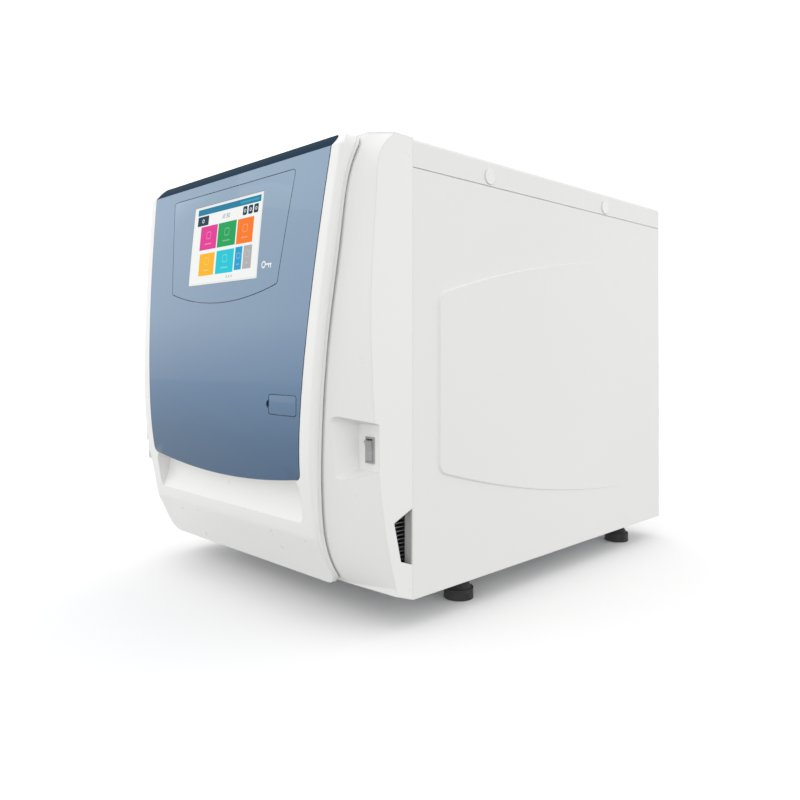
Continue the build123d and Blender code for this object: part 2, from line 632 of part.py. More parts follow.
def top_cover():
    """The cover: a flat top folded down both sides, with a hatch over the water tank."""
    low = HEIGHT - COVER_DROP
    outer = block(-HALF, HALF, 0, CASE_LENGTH, low, HEIGHT)
    bends = [e for e in outer.edges().filter_by(Axis.Y) if e.center().Z > HEIGHT - 1]
    outer = fillet(bends, COVER_BEND)
    inner = block(-HALF + SHEET, HALF - SHEET, -1, CASE_LENGTH + 1, low - 1, HEIGHT - SHEET)
    bends = [e for e in inner.edges().filter_by(Axis.Y) if e.center().Z > HEIGHT - 3]
    inner = fillet(bends, COVER_BEND - SHEET)
    cover = outer - inner
    for y in CAP_Y:
        cover -= rod_x(y, HEIGHT - CAP_BELOW_TOP, 2.2, -FAR, FAR)
    well = block(LID_X[0] - 6, LID_X[1] + 6, LID_Y[0] - 6, LID_Y[1] + 6, HEIGHT - 5.5, HEIGHT)
    well -= lid_block(REVEAL, 1.0)
    cover = cover - block(*LID_X, *LID_Y, HEIGHT - 3, HEIGHT + 1) + well
    cover -= rod_z(0, tank_neck_y(), NECK_RADIUS + 1, HEIGHT - 20, HEIGHT + 1)
    return cover - rod_x(LID_Y[0] - 2, HEIGHT + 3, 8, -15, 15)


def lid_block(grow, deeper):
    """The hatch's solid form."""
    low, high = HEIGHT - LID_THICK - deeper, HEIGHT + deeper * 3
    lid = block(LID_X[0] - grow, LID_X[1] + grow, LID_Y[0] - grow, LID_Y[1] + grow, low, high)
    return fillet(lid.edges().filter_by(Axis.Z), 3.0 + grow)


def tank_neck_y():
    return (LID_Y[0] + LID_Y[1]) / 2


def fill_hatch():
    """The hinged hatch over the tank's filler neck."""
    return lid_block(0.0, 0.0)


def base_pan():
    """The chassis floor with folded sides."""
    half = HALF - SHEET - SEAT
    pan = block(-half, half, SHEET + SEAT, CASE_LENGTH - SHEET - SEAT, FOOT_HEIGHT + SHEET + SEAT, FLOOR)
    for sign in (-1, 1):
        x0, x1 = sorted((sign * half, sign * (half - PAN)))
        pan += block(x0, x1, 14, CASE_LENGTH - 14, FOOT_HEIGHT + SHEET + SEAT, FOOT_HEIGHT + 26)
        for y in FOOT_Y:
            pan -= rod_z(sign * FOOT_X, y, STUD_RADIUS + 0.3, 0, 60)
    for x in range(-100, 101, 40):
        pan -= block(x - 14, x + 14, 120, 260, 0, 60)
    return pan


def rear_panel():
    """The back sheet, with cut-outs for services, and ears that close the cover's corners."""
    panel = block(-HALF + 13, HALF - 13, CASE_LENGTH - SHEET, CASE_LENGTH, FLOOR, HEIGHT - SHEET - SEAT)
    wide, ear_low = HALF - SHEET - SEAT, HEIGHT - COVER_DROP - COVER_SEAM - 20 + 2 * SEAT
    panel += block(-wide, wide, CASE_LENGTH - SHEET, CASE_LENGTH, ear_low, HEIGHT - COVER_BEND - SEAT)
    panel -= rod_y(FAN_X, FAN_Z, FAN_SIZE / 2 - 4, CASE_LENGTH - 5, CASE_LENGTH + 5)
    for x, z in coupling_places():
        panel -= rod_y(x, z, 7.2, CASE_LENGTH - 5, CASE_LENGTH + 5)
    around = (CASE_LENGTH - 5, CASE_LENGTH + 5)
    panel -= block(INLET_X - 20.3, INLET_X + 20.3, *around, INLET_Z - 14.3, INLET_Z + 14.3)
    for row in range(LOUVRE_ROWS):
        z = LOUVRE_Z + row * LOUVRE_PITCH
        for x in [sign * place for sign in (-1, 1) for place in LOUVRE_X]:
            panel -= block(x - LOUVRE_HALF, x + LOUVRE_HALF, *around, z, z + LOUVRE_OPEN)
    return panel - rod_y(SAFETY_X, SAFETY_Z, 9.2, CASE_LENGTH - 5, CASE_LENGTH + 5)


def coupling_places():
    """Where the two water couplings leave the rear panel."""
    return [(x, COUPLING_Z) for x in COUPLING_X]


# ---- chassis -------------------------------------------------------------------------------------


def front_frame():
    """The steel frame behind the fascia: it carries the chamber's flange, the hinge and the strike."""
    front = frame_front()
    half = MOUTH_RADIUS + 22
    plate = block(-half, half, front, front + 3, LEG_TOP, CHAMBER_Z + 75)
    plate += rod_y(0, CHAMBER_Z, MOUTH_RADIUS - 1, front, front + 3)
    plate -= rod_y(0, CHAMBER_Z, CHAMBER_BORE + CHAMBER_WALL + 1, -FAR, FAR)
    for sign in (-1, 1):
        x0, x1 = sorted((sign * (half - 13), sign * (half - 10)))
        plate += block(x0, x1, front, 60, LEG_TOP, CHAMBER_Z - 15) + block(x0, x1, 3, 60, FLOOR, LEG_TOP + 1)
        foot0, foot1 = sorted((sign * (half - 30), sign * (half - 10)))
        plate += block(foot0, foot1, 3, 60, FLOOR, FLOOR + 3)
    return plate


def frame_front():
    """Front face of the steel frame, against the back of the chamber's flange."""
    return FLANGE_FRONT + FLANGE_THICK + SEAT


def hinge_bracket():
    """The fixed half of the door hinge, bolted to the front frame."""
    back = frame_front()
    ends = [(HINGE_LOW, HINGE_LOW + KNUCKLE_SHARE), (HINGE_HIGH - KNUCKLE_SHARE, HINGE_HIGH)]
    bracket = block(HINGE_X - 4, HINGE_X + 38, back - 3.5, back, HINGE_LOW, HINGE_HIGH)
    for low, high in ends:
        bracket += rod_z(HINGE_X, HINGE_Y, KNUCKLE_RADIUS, low, high)
        bracket += block(HINGE_X - 3, HINGE_X + 3, HINGE_Y + 2, back, low, high)
    return bracket - rod_z(HINGE_X, HINGE_Y, PIN_RADIUS + RUNNING, HINGE_LOW - 1, HINGE_HIGH + 1)


def hinge_pin():
    """The hinge pin, headed at its top."""
    pin = rod_z(HINGE_X, HINGE_Y, PIN_RADIUS, HINGE_LOW - 1, HINGE_HIGH + SEAT)
    return pin + rod_z(HINGE_X, HINGE_Y, PIN_RADIUS + 1.5, HINGE_HIGH + SEAT, HINGE_HIGH + 2)


def strike_plate():
    """The steel blocks on the frame that the lock bolts enter."""
    back, strike = frame_front(), None
    for z in lock_heights():
        near = field_side(z + 12) + MOULDING + SEAT * 2
        one = block(near, near + STRIKE_THICK, BOLT_Y - BOLT_RADIUS - STRIKE_WALL, back, z - 12, z + 12)
        one += block(155, near + STRIKE_THICK, back - 4, back, z - 12, z + 12)
        one -= rod_x(BOLT_Y, z, BOLT_RADIUS + 0.6, near - 1, near + STRIKE_THICK + 1)
        strike = one if strike is None else strike + one
    return strike


def chamber_vessel():
    """The stainless pressure vessel: a tube with a dished closed end."""
    front, radius = FLANGE_FRONT + FLANGE_THICK, CHAMBER_BORE + CHAMBER_WALL
    back = FLANGE_FRONT + CHAMBER_LENGTH
    shell = rod_y(0, CHAMBER_Z, radius, front, back)
    shell -= rod_y(0, CHAMBER_Z, CHAMBER_BORE, front - 1, back)
    dome = 34.0
    ball = (radius**2 + dome**2) / (2 * dome)
    cap = Pos(0, back + dome - ball, CHAMBER_Z) * (Sphere(ball) - Sphere(ball - CHAMBER_WALL))
    cap &= rod_y(0, CHAMBER_Z, radius, back, back + dome + 1)
    vessel = shell + cap
    port = rod_y(SAFETY_X, SAFETY_Z, 6, back + dome - 12, back + dome + 12)
    return vessel + port - rod_y(SAFETY_X, SAFETY_Z, 4, back, back + 60)


def chamber_flange():
    """The thick ring at the chamber's mouth."""
    return tube_y(0, CHAMBER_Z, FLANGE_RADIUS, CHAMBER_BORE, FLANGE_FRONT, FLANGE_FRONT + FLANGE_THICK)


def chamber_heater():
    """The band heater around the vessel, split by its clamp."""
    inner = CHAMBER_BORE + CHAMBER_WALL + SEAT / 2
    band = tube_y(0, CHAMBER_Z, inner + HEATER_THICK, inner, 40, 220)
    return band - block(-4, 4, 0, 300, CHAMBER_Z - 200, CHAMBER_Z)


def insulation_jacket():
    """The felt jacket over the vessel."""
    inner = CHAMBER_BORE + CHAMBER_WALL + HEATER_THICK
    return tube_y(0, CHAMBER_Z, CHAMBER_BORE + CHAMBER_WALL + INSULATION, inner + SEAT, 0, 270)


def chamber_saddles():
    """Two saddles that carry the jacketed vessel on the base pan."""
    radius = CHAMBER_BORE + CHAMBER_WALL + INSULATION
    body = None
    for y in (60, 200):
        web = block(-100, 100, y, y + 4, FLOOR, CHAMBER_Z - 80)
        web += block(-100, 100, y - 10, y + 14, FLOOR, FLOOR + 3)
        web -= rod_y(0, CHAMBER_Z, radius + SEAT, y - 20, y + 20)
        body = web if body is None else body + web
    return body


def tray_levels():
    """Height of each tray's underside."""
    first = CHAMBER_Z - TRAY_PITCH * (TRAY_COUNT - 1) / 2 - TRAY_DEPTH / 2
    return [first + TRAY_PITCH * level for level in range(TRAY_COUNT)]


def tray(level):
    """A perforated tray with a rim and a pull lip."""
    z, half = tray_levels()[level], TRAY_WIDTH / 2
    back = TRAY_FRONT + TRAY_LENGTH
    body = block(-half, half, TRAY_FRONT, back, z, z + TRAY_DEPTH)
    body = fillet(body.edges().filter_by(Axis.Z), 10)
    wide, ends = half - TRAY_WALL, (TRAY_FRONT + TRAY_WALL, back - TRAY_WALL)
    inner = block(-wide, wide, *ends, z + TRAY_WALL, z + TRAY_DEPTH + 1)
    body -= fillet(inner.edges().filter_by(Axis.Z), 10 - TRAY_WALL)
    columns = int((TRAY_WIDTH - 30) // TRAY_HOLE_PITCH)
    rows = int((TRAY_LENGTH - 30) // TRAY_HOLE_PITCH)
    for i in range(columns + 1):
        for j in range(rows + 1):
            x = (i - columns / 2) * TRAY_HOLE_PITCH
            y = TRAY_FRONT + TRAY_LENGTH / 2 + (j - rows / 2) * TRAY_HOLE_PITCH
            body -= rod_z(x, y, TRAY_HOLE, z - 1, z + TRAY_WALL + 1)
    return body


def tray_rack():
    """The removable rack: two side plates with runners, joined underneath."""
    levels = tray_levels()
    low, high = levels[0] - 8, levels[-1] + TRAY_DEPTH + 6
    inside = TRAY_WIDTH / 2 + 1.0
    rack = None
    for sign in (-1, 1):
        x0, x1 = sorted((sign * inside, sign * (inside + 1.2)))
        side = block(x0, x1, TRAY_FRONT, TRAY_FRONT + TRAY_LENGTH, low, high)
        for z in levels:
            r0, r1 = sorted((sign * (inside - 9), sign * inside))
            side += block(r0, r1, TRAY_FRONT, TRAY_FRONT + TRAY_LENGTH, z - SEAT - 1.2, z - SEAT)
        rack = side if rack is None else rack + side
    for y in (TRAY_FRONT + 20, TRAY_FRONT + TRAY_LENGTH - 40):
        rack += block(-inside - 1.2, inside + 1.2, y, y + 20, low, low + 1.2)
    depth = (CHAMBER_BORE**2 - RACK_LEG**2) ** 0.5
    for y in (TRAY_FRONT + 28, TRAY_FRONT + TRAY_LENGTH - 32):
        for sign in (-1, 1):
            x0, x1 = sorted((sign * (RACK_LEG - 3), sign * RACK_LEG))
            rack += block(x0, x1, y, y + 4, CHAMBER_Z - depth + SEAT, low)
    return rack


# ---- water side ----------------------------------------------------------------------------------


def tank(x0, x1, neck):
    """A blow-moulded water tank, hollow, with a filler neck where it has one."""
    wall = TANK_WALL
    body = block(x0, x1, *TANK_Y, TANK_LOW, TANK_HIGH)
    body = fillet(body.edges().filter_by(Axis.Z), TANK_CORNER)
    ends = (TANK_Y[0] + wall, TANK_Y[1] - wall)
    hollow = block(x0 + wall, x1 - wall, *ends, TANK_LOW + wall, TANK_HIGH - wall)
    body -= fillet(hollow.edges().filter_by(Axis.Z), TANK_CORNER - wall)
    if neck:
        body += rod_z(0, tank_neck_y(), NECK_RADIUS, TANK_HIGH - wall, HEIGHT - 5)
        body -= rod_z(0, tank_neck_y(), NECK_RADIUS - wall, TANK_HIGH - 10, HEIGHT)
    return body


def clean_tank():
    """The clean-water tank, which is filled through the hatch."""
    return tank(TANK_SPLIT[1], TANK_SIDE, True)


def used_tank():
    """The tank that collects used water."""
    return tank(-TANK_SIDE, TANK_SPLIT[0], False)


def tank_shelf():
    """The shelf that carries both tanks, on four legs from the base pan."""
    half, under = HALF - 20, TANK_LOW - SEAT - PAN
    shelf = block(-half, half, TANK_Y[0] - 6, TANK_Y[1] + 6, under, TANK_LOW - SEAT)
    shelf += block(-half, half, TANK_Y[0] - 8, TANK_Y[0] - 6, under, TANK_LOW + 12)
    for x in (-half, half - 2):
        for y in (TANK_Y[0] + 4, TANK_Y[1] - 18):
            shelf += block(x, x + 2, y, y + 14, FLOOR, TANK_LOW - 1)
    return shelf


def vacuum_pump():
    """The diaphragm vacuum pump: a motor between two pump heads on a foot plate."""
    front, back = PUMP_Y, PUMP_Y + 168
    pump = rod_y(PUMP_X, FLOOR + 48, 38, front + 30, back - 28)
    for y0, y1, port in ((front, front + 30, front + 15), (back - 28, back, back - 14)):
        pump += block(PUMP_X - 34, PUMP_X + 34, y0, y1, FLOOR + 8, FLOOR + 92)
        pump += rod_z(PUMP_X, port, 6, FLOOR + 90, FLOOR + 108)
    return pump + block(PUMP_X - 40, PUMP_X + 40, front, back, FLOOR, FLOOR + 9)


def steam_generator():
    """The steam generator: an upright boiler with its element flange."""
    place, top = (BOILER_X, BOILER_Y), FLOOR + BOILER_TALL
    foot, port = rod_z(*place, 52, FLOOR, FLOOR + 10), rod_z(*place, 8, top, top + 14)
    return rod_z(*place, 42, FLOOR + 10, top) + foot + port


def valve_manifold():
    """A brass manifold with three solenoid valves."""
    y = MANIFOLD_Y
    base = block(-60, 40, y, y + 32, FLOOR, FLOOR + 20)
    for x in (-42, -10, 22):
        base += rod_z(x, y + 16, 8, FLOOR + 20, FLOOR + 34)
        base += block(x - 13, x + 13, y + 1, y + 31, FLOOR + 34, FLOOR + 68)
    return base


def condenser():
    """The condenser: level fins on two upright tubes, behind the side vent."""
    body = None
    for fin in range(24):
        z = FLOOR + 6 + fin * 4.2
        plate = block(*CONDENSER_X, -18, 58, z, z + 1.2)
        body = plate if body is None else body + plate
    for y in (10, 44):
        body += rod_z(CONDENSER_X[0] + 12, y, 5, FLOOR + 2, FLOOR + 112)
    return body + block(*CONDENSER_X, 3, 58, FLOOR, FLOOR + 2.5)


def air_filter():
    """The bacteriological air filter: a round capsule behind the rear louvres."""
    back = CASE_LENGTH - SHEET - SEAT
    place = (FILTER_X, FILTER_Z)
    can, nipple = rod_y(*place, 20, back - 34, back - 8), rod_y(*place, 5, back - 54, back - 34)
    return rod_y(*place, 24, back - 8, back) + can + nipple


def control_board():
    """The main board on two upright brackets at the left side."""
    face, low = BOARD_X + 1.6, CHAMBER_Z - 115
    board = block(BOARD_X, face, BOARD_Y, BOARD_Y + 180, low, low + 180)
    for y, z, wide, tall in ((30, 40, 24, 24), (85, 50, 40, 14), (130, 140, 30, 30), (45, 140, 22, 36)):
        board += block(face, face + 12.4, BOARD_Y + y, BOARD_Y + y + wide, low + z, low + z + tall)
    for y in (BOARD_Y + 2, BOARD_Y + 166):
        board += block(BOARD_X - 2, BOARD_X, y, y + 12, FLOOR, low + 176)
        board += block(BOARD_X - 2, BOARD_X + 16, y, y + 12, FLOOR, FLOOR + 2)
    return board


def power_supply():
    """The mains power supply in its ventilated case."""
    case = block(SUPPLY_X, SUPPLY_X + 60, BOARD_Y, BOARD_Y + 160, FLOOR, FLOOR + 52)
    for row in range(6):
        y = BOARD_Y + 15 + row * 24
        case -= block(SUPPLY_X + 15, SUPPLY_X + 45, y, y + 10, FLOOR + 49, FLOOR + 53)
    return case


def mains_inlet():
    """The three-pin mains inlet with its fuse drawer."""
    front, back = CASE_LENGTH - 30, CASE_LENGTH + 2.5
    inlet = block(INLET_X - 20, INLET_X + 20, front, back, INLET_Z - 14, INLET_Z + 14)
    inlet += block(INLET_X - 25, INLET_X + 25, CASE_LENGTH + SEAT / 3, back, INLET_Z - 17, INLET_Z + 17)
    socket = block(INLET_X - 12.2, INLET_X + 12.2, back - 17, back + 1, INLET_Z - 8.2, INLET_Z + 8.2)
    inlet -= fillet(socket.edges().filter_by(Axis.Y), 3)
    for x, z in ((-7, 0), (0, 2.5), (7, 0)):
        sides = (INLET_X + x - 1, INLET_X + x + 1)
        inlet += block(*sides, back - 18, back - 3, INLET_Z + z - 2, INLET_Z + z + 2)
    return inlet


def water_couplings():
    """Two hose couplings: a nut against the panel and a plain tail for the hose."""
    body = None
    for x, z in coupling_places():
        one = rod_y(x, z, 7, CASE_LENGTH - 14, CASE_LENGTH + SEAT / 3)
        one += extrude(Plane((x, CASE_LENGTH + SEAT / 3, z), z_dir=(0, 1, 0)) * RegularPolygon(9, 6), 4)
        one += rod_y(x, z, 4, CASE_LENGTH + 4, CASE_LENGTH + REAR_REACH - 0.5)
        one -= rod_y(x, z, 2.5, CASE_LENGTH - 15, CASE_LENGTH + REAR_REACH + 1)
        body = one if body is None else body + one
    return body


def safety_valve():
    """The pressure relief valve behind the chamber, with its outlet at the rear panel."""
    start = FLANGE_FRONT + CHAMBER_LENGTH + 34 + 12 + SEAT
    valve = rod_y(SAFETY_X, SAFETY_Z, 6, start, start + 20)
    valve += rod_y(SAFETY_X, SAFETY_Z, 13, start + 20, start + 62)
    return valve + rod_y(SAFETY_X, SAFETY_Z, 8, start + 62, CASE_LENGTH + 3)


def rear_bumpers():
    """Two rubber bumpers that keep the casing off the wall."""
    body = None
    for x in (-BUMPER_X, BUMPER_X):
        one = rod_y(x, BUMPER_Z, 12, CASE_LENGTH + 0.1, CASE_LENGTH + REAR_REACH)
        one = fillet([e for e in one.edges() if e.center().Y > CASE_LENGTH + 10], 3)
        body = one if body is None else body + one
    return body


def line(points, radius, bends):
    """A pipe along straight runs joined by arcs."""
    path = FilletPolyline(*points, radius=bends)
    start = Plane(path @ 0, z_dir=path % 0)
    return sweep(start * Circle(radius), path=path)


def steam_line():
    """The copper pipe from the steam generator to the chamber's jacket top."""
    x, y, top = BOILER_X, BOILER_Y, FLOOR + BOILER_TALL + 14
    return line([(x, y, top + 0.2), (x, y, top + 60), (x, y - 50, top + 60), (x, y - 50, top + 95)], 4, 14)


def drain_line():
    """The hose from the pump to the drain coupling."""
    port, side, low = PUMP_Y + 154, PUMP_X + 55, FLOOR + 26.5
    across_y, end = CASE_LENGTH - 45, COUPLING_X[1]
    points = [(PUMP_X + 34.2, port, low), (side, port, low), (side, across_y, low)]
    points += [(end, across_y, COUPLING_Z), (end, CASE_LENGTH - 14.2, COUPLING_Z)]
    return line(points, 4, 9)


# ---- switch, fan, feet, fasteners ----------------------------------------------------------------


def switch_body():
    """The power switch's frame and case."""
    front = -RECESS_BACK - 1.5
    half_w, half_t = SWITCH_WIDE / 2, SWITCH_TALL / 2
    seat, thin = -RECESS_BACK - 0.1, 1.3
    rim = upright(half_w, half_t, front, seat)
    case = upright(half_w - thin, half_t - thin, seat, -RECESS_BACK + SWITCH_DEEP)
    return rim + case - upright(ROCKER_WIDE / 2 + SEAT, ROCKER_TALL / 2 + 0.6, front - 1, -RECESS_BACK + 8)


def upright(half_wide, half_tall, y0, y1):
    """A block about the switch's middle."""
    sides = (SWITCH_X - half_wide, SWITCH_X + half_wide)
    return block(*sides, y0, y1, SWITCH_Z - half_tall, SWITCH_Z + half_tall)


def power_rocker():
    """The rocker, stored in its off position: the lower end is pressed in."""
    front = -RECESS_BACK - 1.5
    half = ROCKER_TALL / 2
    upper = [(0, front - 2.2, SWITCH_Z + half - 0.4), (0, front + 4.5, SWITCH_Z + half - 0.8)]
    lower = [(0, y, 2 * SWITCH_Z - z) for _, y, z in reversed(upper)]
    outline = [(0, front - 0.4, SWITCH_Z)] + upper + [(0, front + 6.5, SWITCH_Z)] + lower
    rocker = extrude(Face(Wire(sheet_outline(outline))), amount=ROCKER_WIDE / 2, dir=(1, 0, 0), both=True)
    rocker = rocker.moved(Location((0, -front - 2.5, -SWITCH_Z)))
    return rocker.moved(Location((SWITCH_X, front + 2.5, SWITCH_Z), (ROCKER_TILT, 0, 0)))


def fan_housing():
    """The rear fan's square frame with its motor mount."""
    y1 = CASE_LENGTH - SHEET - SEAT / 3
    y0, half = y1 - FAN_DEPTH, FAN_SIZE / 2
    frame = block(FAN_X - half, FAN_X + half, y0, y1, FAN_Z - half, FAN_Z + half)
    frame -= rod_y(FAN_X, FAN_Z, half - 3, y0 - 1, y1 + 1)
    arm = block(FAN_X - half + 2, FAN_X + half - 2, y0, y0 + 3, FAN_Z - 3, FAN_Z + 3)
    return frame + arm + rod_y(FAN_X, FAN_Z, 16, y0, y0 + 4)


def fan_rotor():
    """The fan's hub and blades."""
    y1 = CASE_LENGTH - SHEET - SEAT / 3
    y0 = y1 - FAN_DEPTH + 4 + SEAT
    rotor = rod_y(FAN_X, FAN_Z, FAN_HUB, y0, y1 - 2)
    hub = Pos(FAN_X, (y0 + y1) / 2 - 0.5, FAN_Z)
    for index in range(BLADES):
        rotor += hub * Rot(0, index * 360 / BLADES, 0) * Pos(30, 0, 0) * Rot(35, 0, 0) * Box(24, 1.6, 20)
    return rotor


def fan_guard():
    """The wire guard over the fan: rings joined by a cross."""
    y0, y1 = CASE_LENGTH + 0.1, CASE_LENGTH + 2.1
    guard = None
    for radius in GUARD_RINGS:
        ring = tube_y(FAN_X, FAN_Z, radius + 1, radius - 1, y0, y1)
        guard = ring if guard is None else guard + ring
    for turn in (45, -45):
        guard += Pos(FAN_X, (y0 + y1) / 2, FAN_Z) * Rot(0, turn, 0) * Box(112, y1 - y0, 2)
    return guard


def feet_places():
    return [(sign * FOOT_X, y) for y in FOOT_Y for sign in (-1, 1)]


def foot_pads():
    """Four rubber feet."""
    body = None
    for x, y in feet_places():
        pad = rod_z(x, y, FOOT_RADIUS, 0, 12) + Pos(x, y, 17) * Cone(FOOT_RADIUS - 2, FOOT_RADIUS - 8, 10)
        pad -= rod_z(x, y, STUD_RADIUS, 6, 30)
        body = pad if body is None else body + pad
    return body


def foot_studs():
    """The feet's threaded studs with their lock nuts."""
    body = None
    for x, y in feet_places():
        stud = rod_z(x, y, STUD_RADIUS - 0.1, 6.1, FLOOR + 12)
        for z, thick in ((FLOOR + 0.1, 6), (22.2, 5)):
            stud += extrude(Plane((x, y, z)) * RegularPolygon(7.5, 6), thick)
        body = stud if body is None else body + stud
    return body


def cover_screws():
    """The four screws that hold the cover to the side panels."""
    body = None
    for y in CAP_Y:
        for sign in (-1, 1):
            z = HEIGHT - CAP_BELOW_TOP
            shank = rod_x(y, z, 2.0, *sorted((sign * (HALF - 14), sign * (HALF + 0.1))))
            head = rod_x(y, z, 3.8, *sorted((sign * HALF, sign * (HALF + 0.6))))
            body = shank + head if body is None else body + shank + head
    return body


def screw_caps():
    """The round plastic caps over the cover's screws."""
    body = None
    for y in CAP_Y:
        for sign in (-1, 1):
            z = HEIGHT - CAP_BELOW_TOP
            cap = rod_x(y, z, CAP_RADIUS, *sorted((sign * (HALF + 0.05), sign * (HALF + CAP_PROUD))))
            cap -= rod_x(y, z, 4.0, *sorted((sign * (HALF - 1), sign * (HALF + 0.7))))
            body = cap if body is None else body + cap
    return body


def lock_actuator():
    """The motor that drives the lock bar."""
    middle = CHAMBER_Z
    motor = rod_x(-76.4, middle, 5.2, 20, 84) + block(84, 100, -82.3, -71.3, middle - 9, middle + 9)
    motor += block(100, LOCK_BAR[0] - 0.5, -79.5, -76, middle - 3, middle + 3)
    return motor


PIECES = {
    "base_pan": base_pan,
    "side_panel_right": lambda: side_panel(1),
    "side_panel_left": lambda: side_panel(-1),
    "top_cover": top_cover,
    "rear_panel": rear_panel,
    "front_fascia": front_fascia,
    "front_frame": front_frame,
    "hinge_bracket": hinge_bracket,
    "hinge_pin": hinge_pin,
    "strike_plate": strike_plate,
    "cover_screws": cover_screws,
    "screw_caps": screw_caps,
    "foot_pads": foot_pads,
    "foot_studs": foot_studs,
    "power_switch_body": switch_body,
    "power_rocker": power_rocker,
    "chamber_vessel": chamber_vessel,
    "chamber_flange": chamber_flange,
    "chamber_heater": chamber_heater,
    "insulation_jacket": insulation_jacket,
    "chamber_saddles": chamber_saddles,
    "tray_rack": tray_rack,
    "tray_lower": lambda: tray(0),
    "tray_middle": lambda: tray(1),
    "tray_upper": lambda: tray(2),
    "clean_tank": clean_tank,
    "used_tank": used_tank,
    "tank_shelf": tank_shelf,
    "fill_hatch": fill_hatch,
    "vacuum_pump": vacuum_pump,
    "steam_generator": steam_generator,
    "valve_manifold": valve_manifold,
    "condenser": condenser,
    "air_filter": air_filter,
    "control_board": control_board,
    "power_supply": power_supply,
    "mains_inlet": mains_inlet,
    "water_couplings": water_couplings,
    "safety_valve": safety_valve,
    "rear_bumpers": rear_bumpers,
    "steam_line": steam_line,
    "drain_line": drain_line,
    "fan_housing": fan_housing,
    "fan_rotor": fan_rotor,
    "fan_guard": fan_guard,
    "door_shell": door_shell,
    "door_panel": door_panel,
    "display_bezel": display_bezel,
    "touch_screen": touch_screen,
    "display_module": display_module,
    "usb_flap": usb_flap,
    "usb_port": usb_port,
    "door_liner": door_liner,
    "door_arm": door_arm,
    "pressure_plate": pressure_plate,
    "door_gasket": door_gasket,
    "lock_bar": lock_bar,
    "lock_actuator": lock_actuator,
}


def main():
    os.makedirs("parts", exist_ok=True)
    for name, make in PIECES.items():
        placed = make().moved(Location((0, SEAM_Y, 0)))
        export_step(Compound(placed.solids()), f"parts/{name}.step")


main()
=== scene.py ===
# %% [markdown]
# # A benchtop steam autoclave
# A dental or laboratory autoclave is a pressure chamber in a box of folded sheet metal, closed by a bulging door with a
# glossy coloured front and a touch screen. Every rigid part of it is already modelled to size in the frame that is
# loaded here. This lesson gives those parts their finishes, and adds the small things that a maker would fit last:
# prints, screws and louvre hoods.

import math

import bmesh
import bpy
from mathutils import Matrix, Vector
from mathutils.bvhtree import BVHTree
from mathutils.geometry import barycentric_transform


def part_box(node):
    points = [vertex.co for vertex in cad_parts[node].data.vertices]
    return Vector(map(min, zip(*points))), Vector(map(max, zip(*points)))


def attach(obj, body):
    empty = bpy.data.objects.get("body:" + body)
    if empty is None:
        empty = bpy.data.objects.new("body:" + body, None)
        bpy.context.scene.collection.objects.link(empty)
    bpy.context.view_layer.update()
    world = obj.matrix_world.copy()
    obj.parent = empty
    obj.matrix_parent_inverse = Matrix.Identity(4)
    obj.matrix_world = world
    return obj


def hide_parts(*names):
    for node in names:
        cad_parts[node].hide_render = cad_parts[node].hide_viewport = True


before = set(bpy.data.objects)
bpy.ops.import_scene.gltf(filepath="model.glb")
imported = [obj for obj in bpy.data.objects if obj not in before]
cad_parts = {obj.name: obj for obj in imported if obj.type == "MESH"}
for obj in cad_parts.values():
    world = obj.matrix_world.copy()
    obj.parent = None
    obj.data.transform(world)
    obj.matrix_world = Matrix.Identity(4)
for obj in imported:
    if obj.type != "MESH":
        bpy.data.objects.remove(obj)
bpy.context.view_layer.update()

# %% [markdown]
# All sizes below are in metres. A few places are read from the frame, so that the finishes and the added pieces follow
# it: the seam where the moulded front meets the casing, the back sheet, the panel, and the middle of the chamber.

# %% Places that the finishes and the small pieces follow
MM = 0.001
seam_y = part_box("top_cover")[0].y
back_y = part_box("rear_panel")[1].y
chamber_low, chamber_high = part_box("chamber_flange")
chamber_z = (chamber_low.z + chamber_high.z) / 2
panel_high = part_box("door_panel")[1]
print("seam at y", round(seam_y, 4), "back sheet at y", round(back_y, 4), "chamber axis at z", round(chamber_z, 4))

# %% [markdown]
# ## A kit for procedural finishes
# A finish on a real object is rarely one colour. Paint has a faint orange peel, brushed steel has grain in one
# direction, and moulded plastic carries the spark-eroded texture of its tool. Each can be painted by hand, taken from a
# picture, or made from noise in the shader. Noise is used here, read from the object's own coordinates, because it has
# a true size in millimetres and needs no unwrapping.


# %% Helpers that place and join shader nodes
def add_node(tree, kind, links=None, **settings):
    """A shader node with its settings; links gives each input a value or another node's output."""
    node = tree.nodes.new(kind)
    for name, value in settings.items():
        setattr(node, name, value)
    for name, value in (links or {}).items():
        socket = node.inputs[name]
        if isinstance(value, bpy.types.NodeSocket):
            tree.links.new(value, socket)
        else:
            socket.default_value = value
    return node


def place_vector(tree, scale=(1, 1, 1), turn=(0, 0, 0), move=(0, 0, 0)):
    """The object's own coordinates, scaled, turned and moved."""
    where = add_node(tree, "ShaderNodeTexCoord").outputs["Object"]
    mapping = add_node(tree, "ShaderNodeMapping", {"Vector": where, "Scale": scale, "Rotation": turn, "Location": move})
    return mapping.outputs["Vector"]


def noise(tree, vector, scale, detail=2.0, roughness=0.5, distortion=0.0):
    """Noise with about `scale` blobs in a metre, from 0 to 1."""
    links = {"Vector": vector, "Scale": scale, "Detail": detail, "Roughness": roughness, "Distortion": distortion}
    return add_node(tree, "ShaderNodeTexNoise", links).outputs["Fac"]


def number(tree, operation, first, second=0.0, third=0.0):
    """A number worked out from others."""
    return add_node(tree, "ShaderNodeMath", {0: first, 1: second, 2: third}, operation=operation).outputs[0]


def spread(tree, value, low, high, from_low=0.0, from_high=1.0):
    """A value moved from one range to another, and kept inside it."""
    links = {"Value": value, "From Min": from_low, "From Max": from_high, "To Min": low, "To Max": high}
    return add_node(tree, "ShaderNodeMapRange", links).outputs["Result"]


